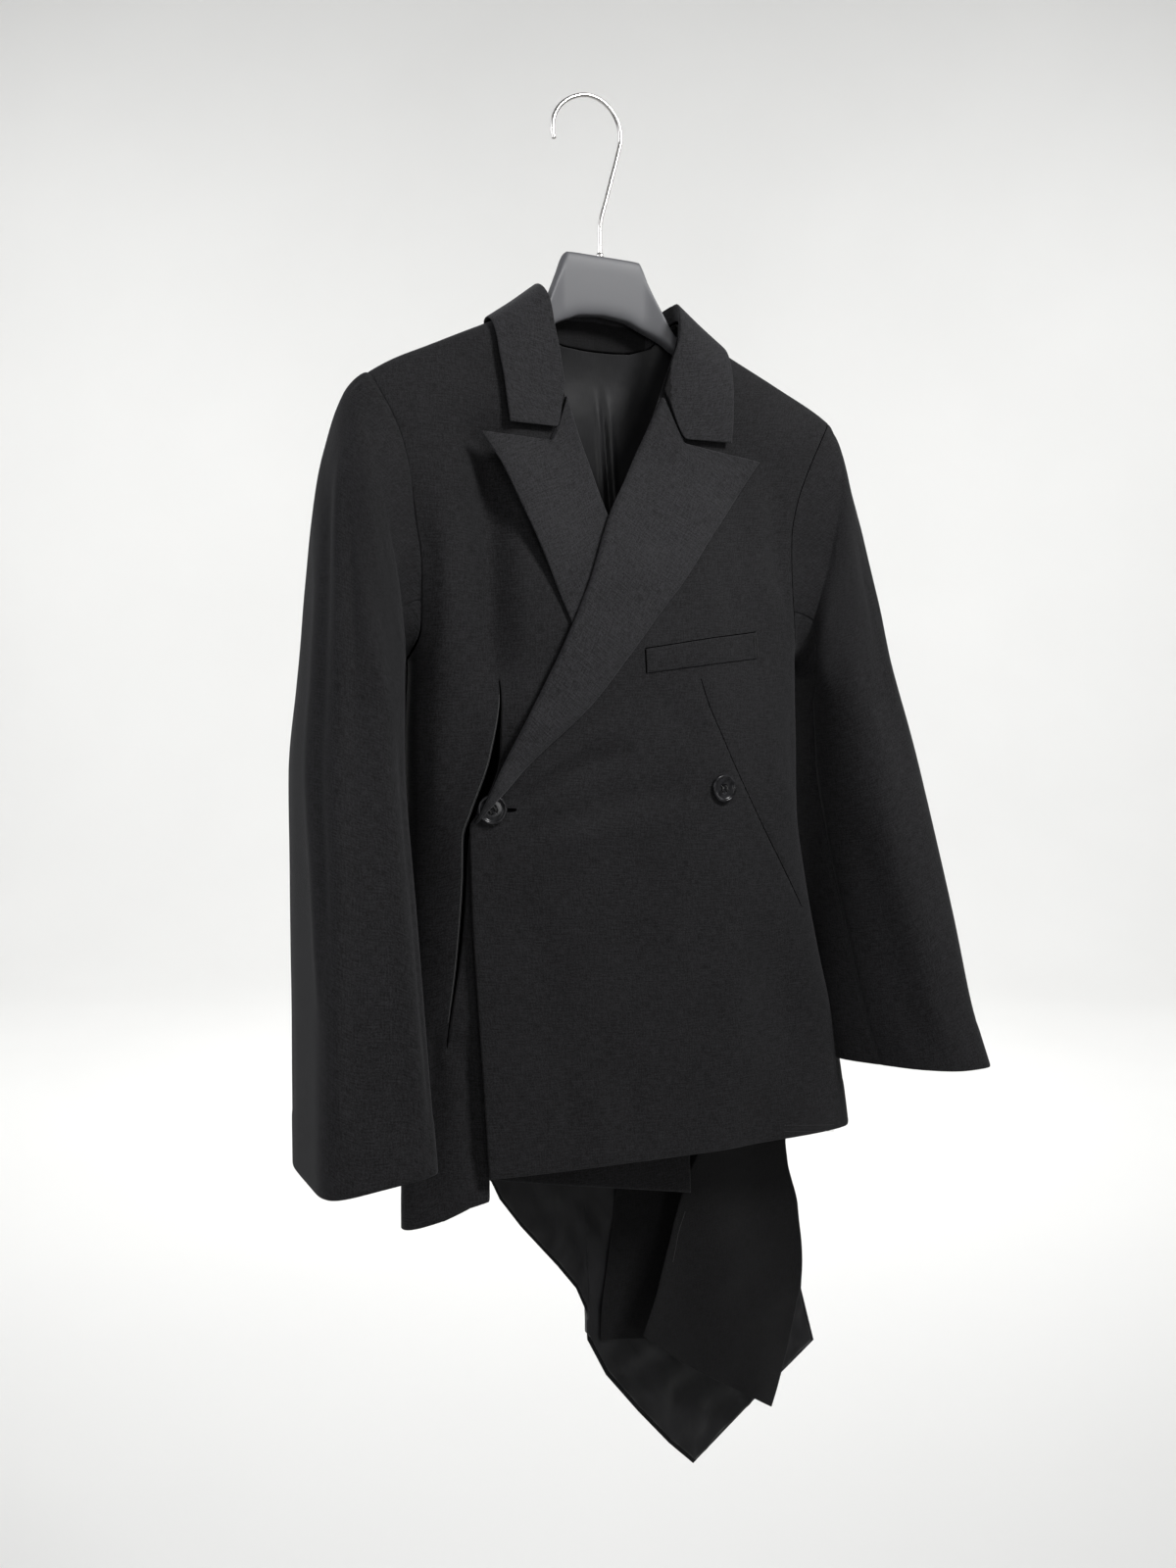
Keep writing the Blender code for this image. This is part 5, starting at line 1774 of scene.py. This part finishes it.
@dataclass
class Stitching:
    """The sewing on the overlapping front, a painted shade line, and loose ends."""

    thread: bpy.types.Material
    thread_and_shade_line: bpy.types.Material

    def row(self, name: str, start: tuple[float, float],
            end: tuple[float, float], count: int) -> bpy.types.Object:
        """A row of short stitches on the front.

        Args:
            name: the row's name.
            start: X and Z of its first stitch.
            end: X and Z of its last stitch.
            count: how many stitches it has.

        Returns:
            The row's object.
        """
        verts, faces, used = [], [], 0
        for k in range(count):
            share = (k + np.linspace(0.15, 0.85, 7)) / count
            x, z = (a + (b - a) * share for a, b in zip(start, end))
            path, normal = front_place(x, z, 0.55)
            sink = np.abs(np.linspace(-1.0, 1.0, 7)) ** 3
            path = path - normal * 0.4 * sink[:, None]
            points, sides = tube(path, 0.17, 5)
            verts.append(points)
            faces += [tuple(i + used for i in face) for face in sides]
            used += len(points)
        return add_piece(name, np.concatenate(verts), faces, self.thread)

    def hem_rows(self) -> None:
        """The two rows at the hem's outer corner."""
        self.row("hem_stitches_upper", (122.0, -677.0), (175.0, -686.0), 24)
        self.row("hem_stitches_lower", (122.0, -682.0), (175.0, -691.0), 24)

    def dart_shade_line(self) -> None:
        """A dark tube sunk in the dart's seam that paints its shadow line."""
        corners = np.array(DART, float)
        run = path_run(corners)
        line = hermite(np.linspace(6.0, run[-1] - 5.0, 150), run, corners)
        path, _ = front_place(line[:, 0], line[:, 1], -0.3)
        thread_tube("dart_shade_line_tube", path, 0.32, self.thread_and_shade_line)

    def buttonhole(self) -> None:
        """The worked edge of the buttonhole beside the edge button."""
        turns = full_circle(59)
        for k, (wide, high, size) in enumerate(((7.2, 1.0, 0.42),
                                                (6.4, 0.35, 0.3))):
            path, _ = front_place(-116.5 + wide * np.cos(turns),
                                  -418.0 + high * np.sin(turns), 0.25)
            thread_tube(f"buttonhole_thread_{k}", path, size,
                        self.thread_and_shade_line)

    def loose_end(self, name: str, line: Array) -> None:
        """A loose thread that curls along a line of points."""
        run = np.linspace(0.0, 1.0, len(line))
        path = hermite(np.linspace(0.0, 1.0, 40), run, line)
        thread_tube(name, path, 0.16, self.thread)

    def build(self) -> None:
        """Build all the sewing and the dart's painted shade line."""
        self.hem_rows()
        self.dart_shade_line()
        self.buttonhole()
        self.loose_end("loose_thread_panel", np.array([
            [43.0, -38.0, -787.0], [45.0, -39.4, -774.0],
            [48.0, -39.2, -762.0], [54.0, -38.4, -748.0]]))


def bmesh_object(name: str, shape: bmesh.types.BMesh) -> bpy.types.Object:
    """Turn a finished bmesh into an object and free it."""
    mesh = bpy.data.meshes.new(name)
    shape.to_mesh(mesh)
    shape.free()
    return placed_object(name, mesh)


@dataclass
class Button:
    """A four-hole button with a raised rim and its sewing threads."""

    name: str
    x: float
    z: float
    resin: bpy.types.Material
    thread: bpy.types.Material
    tilt: float = 0.0
    hole_at: float = 2.0
    hole_radius: float = 0.95
    profile: tuple[tuple[float, float], ...] = (
        (8.8, 0.0), (9.8, 0.35), (10.4, 1.0), (10.5, 1.9), (10.3, 2.6),
        (9.9, 3.05), (9.4, 3.2), (8.9, 3.1), (8.3, 2.6), (7.7, 2.15),
        (7.0, 1.95), (4.5, 1.9))

    def build(self) -> bpy.types.Object:
        """Build the button and its threads."""
        place, axis = (found[0] for found in front_place(
            np.array([self.x]), np.array([self.z]), 0.5))
        along = unit(np.cross(UPWARD, axis))
        up = np.cross(axis, along)
        c, s = math.cos(self.tilt), math.sin(self.tilt)
        basis = np.stack([along * c + up * s, up * c - along * s, axis], 1)
        verts, faces = self.disc()
        made = add_piece(self.name + "_resin", place + verts @ basis.T, faces,
                         self.resin)
        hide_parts(self.name)
        t = np.linspace(0.0, math.pi, 14)
        for k, column in enumerate((-self.hole_at, self.hole_at)):
            for side in (-0.25, 0.25):
                local = np.stack([column + side + 0.0 * t,
                                  self.hole_at * np.cos(t),
                                  0.9 + 1.75 * np.sin(t) ** 0.5], 1)
                thread_tube(f"{self.name}_thread_{k}_{side > 0}",
                            place + local @ basis.T, 0.24, self.thread)
        return made

    def disc(self) -> tuple[Array, FaceList]:
        """The turned disc with four drilled holes."""
        count = 72
        shape = bmesh.new()
        rings = []
        for radius, height in self.profile:
            rings.append([shape.verts.new(
                (radius * math.cos(math.tau * k / count),
                 radius * math.sin(math.tau * k / count), height))
                for k in range(count)])
        for low, high in zip(rings[:-1], rings[1:]):
            for k in range(count):
                n = (k + 1) % count
                shape.faces.new((low[k], low[n], high[n], high[k]))
        shape.faces.new(rings[0][::-1])
        shape.faces.new(rings[-1])
        blank = bmesh_object("button_blank", shape)
        drills = []
        at, radius = self.hole_at, self.hole_radius
        for place in ((-at, -at, 0.0), (at, -at, 0.0), (at, at, 0.0),
                      (-at, at, 0.0)):
            hole = bmesh.new()
            bmesh.ops.create_cone(hole, cap_ends=True, segments=20,
                                  radius1=radius, radius2=radius, depth=12.0)
            bmesh.ops.translate(hole, verts=hole.verts, vec=place)
            drill = bmesh_object("button_drill", hole)
            cut = blank.modifiers.new("hole", "BOOLEAN")
            cut.operation, cut.solver = "DIFFERENCE", "EXACT"
            cut.object = drill
            drills.append(drill)
        graph = bpy.context.evaluated_depsgraph_get()
        done = bpy.data.meshes.new_from_object(blank.evaluated_get(graph))
        verts = np.array([tuple(v.co) for v in done.vertices])
        faces = [tuple(f.vertices) for f in done.polygons]
        for thing in [blank, *drills]:
            bpy.data.objects.remove(thing)
        return verts, faces


@dataclass
class Hanger:
    """The wide-shouldered hanger and its wire hook."""

    plastic: bpy.types.Material
    steel: bpy.types.Material
    wire: float = 1.7
    wire_x: float = -1.3
    hook_centre: tuple[float, float] = (-10.0, 93.0)
    hook_radius: float = 26.8
    hook_opening: float = 5.0

    def body(self) -> bpy.types.Object:
        """The moulded hanger with rounded edges."""
        at = np.linspace(0.0, HANGER[-1, 0], 150)
        half = np.column_stack([at, hermite(at, HANGER[:, 0], HANGER[:, 1:])])
        mirrored = half[1:][::-1] * np.array([-1.0, 1, 1, 1, 1])
        rows = np.concatenate([mirrored, half])
        turns = full_circle(64)
        rings = []
        for x, top, foot, thick, corner in rows:
            middle = (top + foot) / 2.0
            y = signed_power(np.cos(turns), 2.0 / corner) * thick
            z = signed_power(np.sin(turns), 2.0 / corner) * (top - middle)
            bow = float(side_line_y(np.array(x), np.array(middle)))
            bow *= float(ease((abs(x) - 32) / 24))
            rings.append(np.stack([np.full_like(y, x), y + bow, z + middle],
                                  axis=1))
        rings = self.capped(rings)
        size = len(turns)
        faces = [tuple(range(size))]
        faces += [(a, d, c, b) for a, b, c, d in band_faces(len(rings), size)]
        last = (len(rings) - 1) * size
        faces.append(tuple(range(last + size - 1, last - 1, -1)))
        made = add_piece("hanger_plastic_body", np.concatenate(rings), faces,
                         self.plastic)
        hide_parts("hanger_body")
        return made

    def capped(self, rings: list[Array]) -> list[Array]:
        """Round the hanger's two ends."""
        out = list(rings)
        for end, way in ((rings[0], -1.0), (rings[-1], 1.0)):
            middle = end.mean(axis=0)
            extra = [middle + (end - middle) * math.cos(a)
                     + np.array([way * 3.0 * math.sin(a), 0.0, 0.0])
                     for a in (0.35, 0.75, 1.15, 1.45)]
            if way < 0:
                out = extra[::-1] + out
            else:
                out = out + extra
        return out

    def hook(self) -> bpy.types.Object:
        """The bent wire with a rounded tip."""
        path = [(self.wire_x, -6.0), (self.wire_x, 12.0),
                (self.wire_x, 22.0), (-0.6, 27.5), (3.5, 42.0), (8.2, 58.5),
                (12.4, 73.0)]
        for degrees in range(-18, 200, 12):
            radius = self.hook_radius + self.hook_opening * float(
                ease((degrees - 110.0) / 85.0))
            angle = math.radians(degrees)
            path.append((self.hook_centre[0] + radius * math.cos(angle),
                         self.hook_centre[1] + radius * math.sin(angle)))
        line = np.array([(x, 0.0, z) for x, z in path])
        run = path_run(line)
        fine = hermite(np.linspace(0.0, run[-1], 200), run, line)
        radii = np.full(len(fine), self.wire)
        way = unit(fine[-1] - fine[-2])
        tip = np.linspace(0.0, 1.0, 6)[1:]
        ends = [fine[-1] + way * 1.2 * v for v in tip]
        caps = [self.wire * math.sqrt(max(1 - v ** 2, 0.02)) for v in tip]
        verts, faces = tube(np.concatenate([fine, ends]),
                            np.concatenate([radii, caps]), 20)
        made = add_piece("hanger_wire_hook", verts, faces, self.steel)
        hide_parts("hanger_hook")
        return made

    def ferrule(self) -> bpy.types.Object:
        """The small collar where the wire enters the plastic."""
        profile = ((2.0, 3.1), (2.6, 2.6), (2.9, 1.8), (3.0, 0.6),
                   (3.0, -1.5), (1.2, -1.5), (1.2, 3.1))
        turns = full_circle(40)
        rings = [np.stack([self.wire_x + r * np.cos(turns), r * np.sin(turns),
                           np.full(len(turns), h)], 1) for r, h in profile]
        made = add_piece("hanger_ferrule", np.concatenate(rings),
                         band_faces(len(rings), len(turns), closed=True),
                         self.steel)
        return made


@dataclass
class Studio:
    """The floor with its far backdrop, the lights and the camera.

    The camera's turn, dip and roll are angles; its distance and the point
    that it aims at are in millimetres in the hanger's frame.
    """

    paint: bpy.types.Material
    turn: float = math.radians(26.9)
    dip: float = math.radians(3.4)
    roll: float = math.radians(-0.13)
    away: float = 1077.6
    aim: tuple[float, float, float] = (-12.55, 0.0, -406.6)
    lens: float = 31.5

    def floor(self) -> bpy.types.Object:
        """A pale floor that sweeps up far behind, in metres."""
        near, far, low, high = -6.0, 7.0, -2.2, 11.0
        half_width, bend, steps = 16.0, 2.5, 12
        line = [(near, low), (far, low)]
        for k in range(1, steps + 1):
            a = math.radians(90.0 * k / steps)
            line.append((far + bend * math.sin(a),
                         low + bend - bend * math.cos(a)))
        line.append((far + bend, high))
        verts = [self.turned(x, y, z) for y, z in line
                 for x in (-half_width, half_width)]
        faces = [(2 * k, 2 * k + 1, 2 * k + 3, 2 * k + 2)
                 for k in range(len(line) - 1)]
        mesh = bpy.data.meshes.new("studio_floor")
        mesh.from_pydata(verts, [], faces)
        mesh.shade_smooth()
        mesh.materials.append(self.paint)
        made = placed_object("studio_floor", mesh)
        return made

    def turned(self, x: float, y: float, z: float
               ) -> tuple[float, float, float]:
        """A place given along and across the camera's own heading."""
        c, s = math.cos(self.turn), math.sin(self.turn)
        return (x * c + y * s, y * c - x * s, z)

    def lamp(self, name: str, place: tuple[float, float, float],
             power: float, size: float,
             tint: tuple[float, float, float] = (1.0, 1.0, 1.0),
             aim: tuple[float, float, float] = (0.0, 0.0, -0.5),
             spread: float = 130.0) -> None:
        """A soft square lamp.

        Args:
            name: the lamp's name.
            place: where it hangs, in metres.
            power: its watts.
            size: its side in metres.
            tint: its colour.
            aim: the point that it looks at.
            spread: the full angle of its beam in degrees.
        """
        data = bpy.data.lights.new(name, "AREA")
        data.energy, data.size, data.color = power, size, tint
        data.spread = math.radians(spread)
        made = placed_object(name, data)
        made.location = place
        look = Vector(aim) - Vector(place)
        made.rotation_mode = "QUATERNION"
        made.rotation_quaternion = look.to_track_quat("-Z", "Y")

    def lights(self) -> None:
        """Lamps and room.

        A key from high on the right, weak lamps from the left and the
        front, one behind at the left for the edges, one over the floor,
        two on the backdrop, and a dim pale room.
        """
        self.lamp("key_softbox", (0.72, -1.3, 0.75), 19.0, 0.5)
        self.lamp("left_softbox", (-1.4, -1.9, 0.3), 5.0, 1.2)
        self.lamp("front_softbox", (-0.35, -2.4, -0.6), 4.0, 0.5)
        self.lamp("floor_softbox", self.turned(0.0, 4.2, 3.4), 40.0, 4.0,
                  aim=self.turned(0.0, 4.21, -2.2), spread=80.0)
        self.lamp("rim_softbox", (-2.4, 0.2, 0.5), 16.0, 1.4,
                  (0.94, 0.95, 1.0))
        for side in (-1.0, 1.0):
            self.lamp(f"backdrop_softbox_{side > 0}",
                      self.turned(6.5 * side, 3.5, 3.0), 245.0, 5.0,
                      aim=self.turned(-1.5 * side, 9.5, -0.6))
        world = bpy.data.worlds.new("pale_room")
        world.use_nodes = True
        glow = world.node_tree.nodes["Background"]
        glow.inputs[0].default_value = (0.93, 0.93, 0.92, 1.0)
        glow.inputs[1].default_value = 0.2
        bpy.context.scene.world = world
        bpy.context.scene.view_settings.view_transform = "Standard"

    def camera(self) -> None:
        """The camera at the photograph's place and angle."""
        look = Vector((math.sin(self.turn) * math.cos(self.dip),
                       math.cos(self.turn) * math.cos(self.dip),
                       -math.sin(self.dip)))
        aim = Vector((np.array(self.aim) - ORIGIN) * MM)
        data = bpy.data.cameras.new("front_camera")
        data.lens, data.sensor_width = self.lens, 36.0
        data.clip_start, data.clip_end = 0.05, 60.0
        made = placed_object("front_camera", data)
        made.location = aim - look * self.away * MM
        made.rotation_mode = "QUATERNION"
        straight = look.to_track_quat("-Z", "Y")
        spin = Quaternion(straight @ Vector(UPWARD), self.roll)
        made.rotation_quaternion = spin @ straight
        bpy.context.scene.camera = made


def main() -> None:
    """Build the blazer piece by piece and report each one."""
    logging.basicConfig(level=logging.INFO, format="%(name)s: %(message)s")
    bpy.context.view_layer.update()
    wool = WoolSuiting().material()
    # A lighter copy of the wool, painted light: the lapels and collar look lit.
    facing = WoolSuiting(name="painted_light_wool_facing", dark=0.0048,
                         light=0.0250, sheen=0.1).material()
    lining = SatinLining().material()
    thread = SewingThread(tone=0.03).material()
    # Near black, no sheen: the buttonhole's thread, and painted shade lines.
    thread_and_shade_line = SewingThread("black_thread_and_painted_shade_lines", 0.001, 0.0).material()
    # A pale thread with sheen that paints the slit lip's highlight.
    highlight_thread = SewingThread("painted_highlight_thread", 0.06).material()
    # A darker copy of the wool, painted shade: the collar stand's inner side and the
    # tail pieces.
    painted_shade_wool = WoolSuiting(name="painted_shade_wool_suiting", dark=0.0006,
                         light=0.0070, sheen=0.02).material()
    resin = ButtonResin().material()
    studio = Studio(StudioPaint().material())
    studio.floor()
    studio.lights()
    studio.camera()
    hanger = Hanger(MouldedPlastic().material(), PlatedWire().material())
    bodice = Bodice(wool, lining)
    neck = Neckwear(facing, painted_shade_wool)
    tail = Tail(painted_shade_wool)
    made = [hanger.body(), hanger.hook(), hanger.ferrule(),
            bodice.back(), bodice.back_lining(), bodice.front_right(),
            bodice.front_left()]
    fronts = ("front_left_cloth", "front_right_cloth")
    made.append(neck.lapel(
        Cut("lapel_right", (0.12, 0.27), 0.0195, fronts, "wool_facing"),
        LAPEL_RIGHT, lambda x, z: 0.0 * x, (8.0, 8.5, 6.5, 1.2, 0.0, 0.0),
        tucked=1.0))
    made.append(neck.lapel(
        Cut("lapel_left", (0.11, 0.36), 0.0235, fronts, "wool_facing"),
        LAPEL_LEFT, lapel_left_lift, (4.5, 3.5, 3.0, 2.0, 0.0), LAPEL_FOLDS))
    made.append(neck.collar())
    left_sleeve = Sleeve(wool, "left", SLEEVE_LEFT, Column.LEFT, sunk=0.45,
                         square=0.04)
    made += left_sleeve.build()
    left_sleeve.paint_armhole_shade(thread_and_shade_line)
    made += Sleeve(wool, "right", SLEEVE_RIGHT, Column.RIGHT, sunk=-0.3,
                   square_cuff=0.4).build()
    made += [tail.panel(), tail.strip(),
             Welt(wool, thread, thread_and_shade_line).build()]
    bodice.slit_edge(highlight_thread)
    Stitching(thread, thread_and_shade_line).build()
    made.append(Button("button_inner", 57.8, -408.0, resin, thread).build())
    made.append(Button("button_edge", -127.0, -417.5, resin, thread,
                       tilt=0.5).build())
    for piece in made:
        LOG.info("%s: %d faces", piece.name, len(piece.data.polygons))


if __name__ == "__main__":
    main()
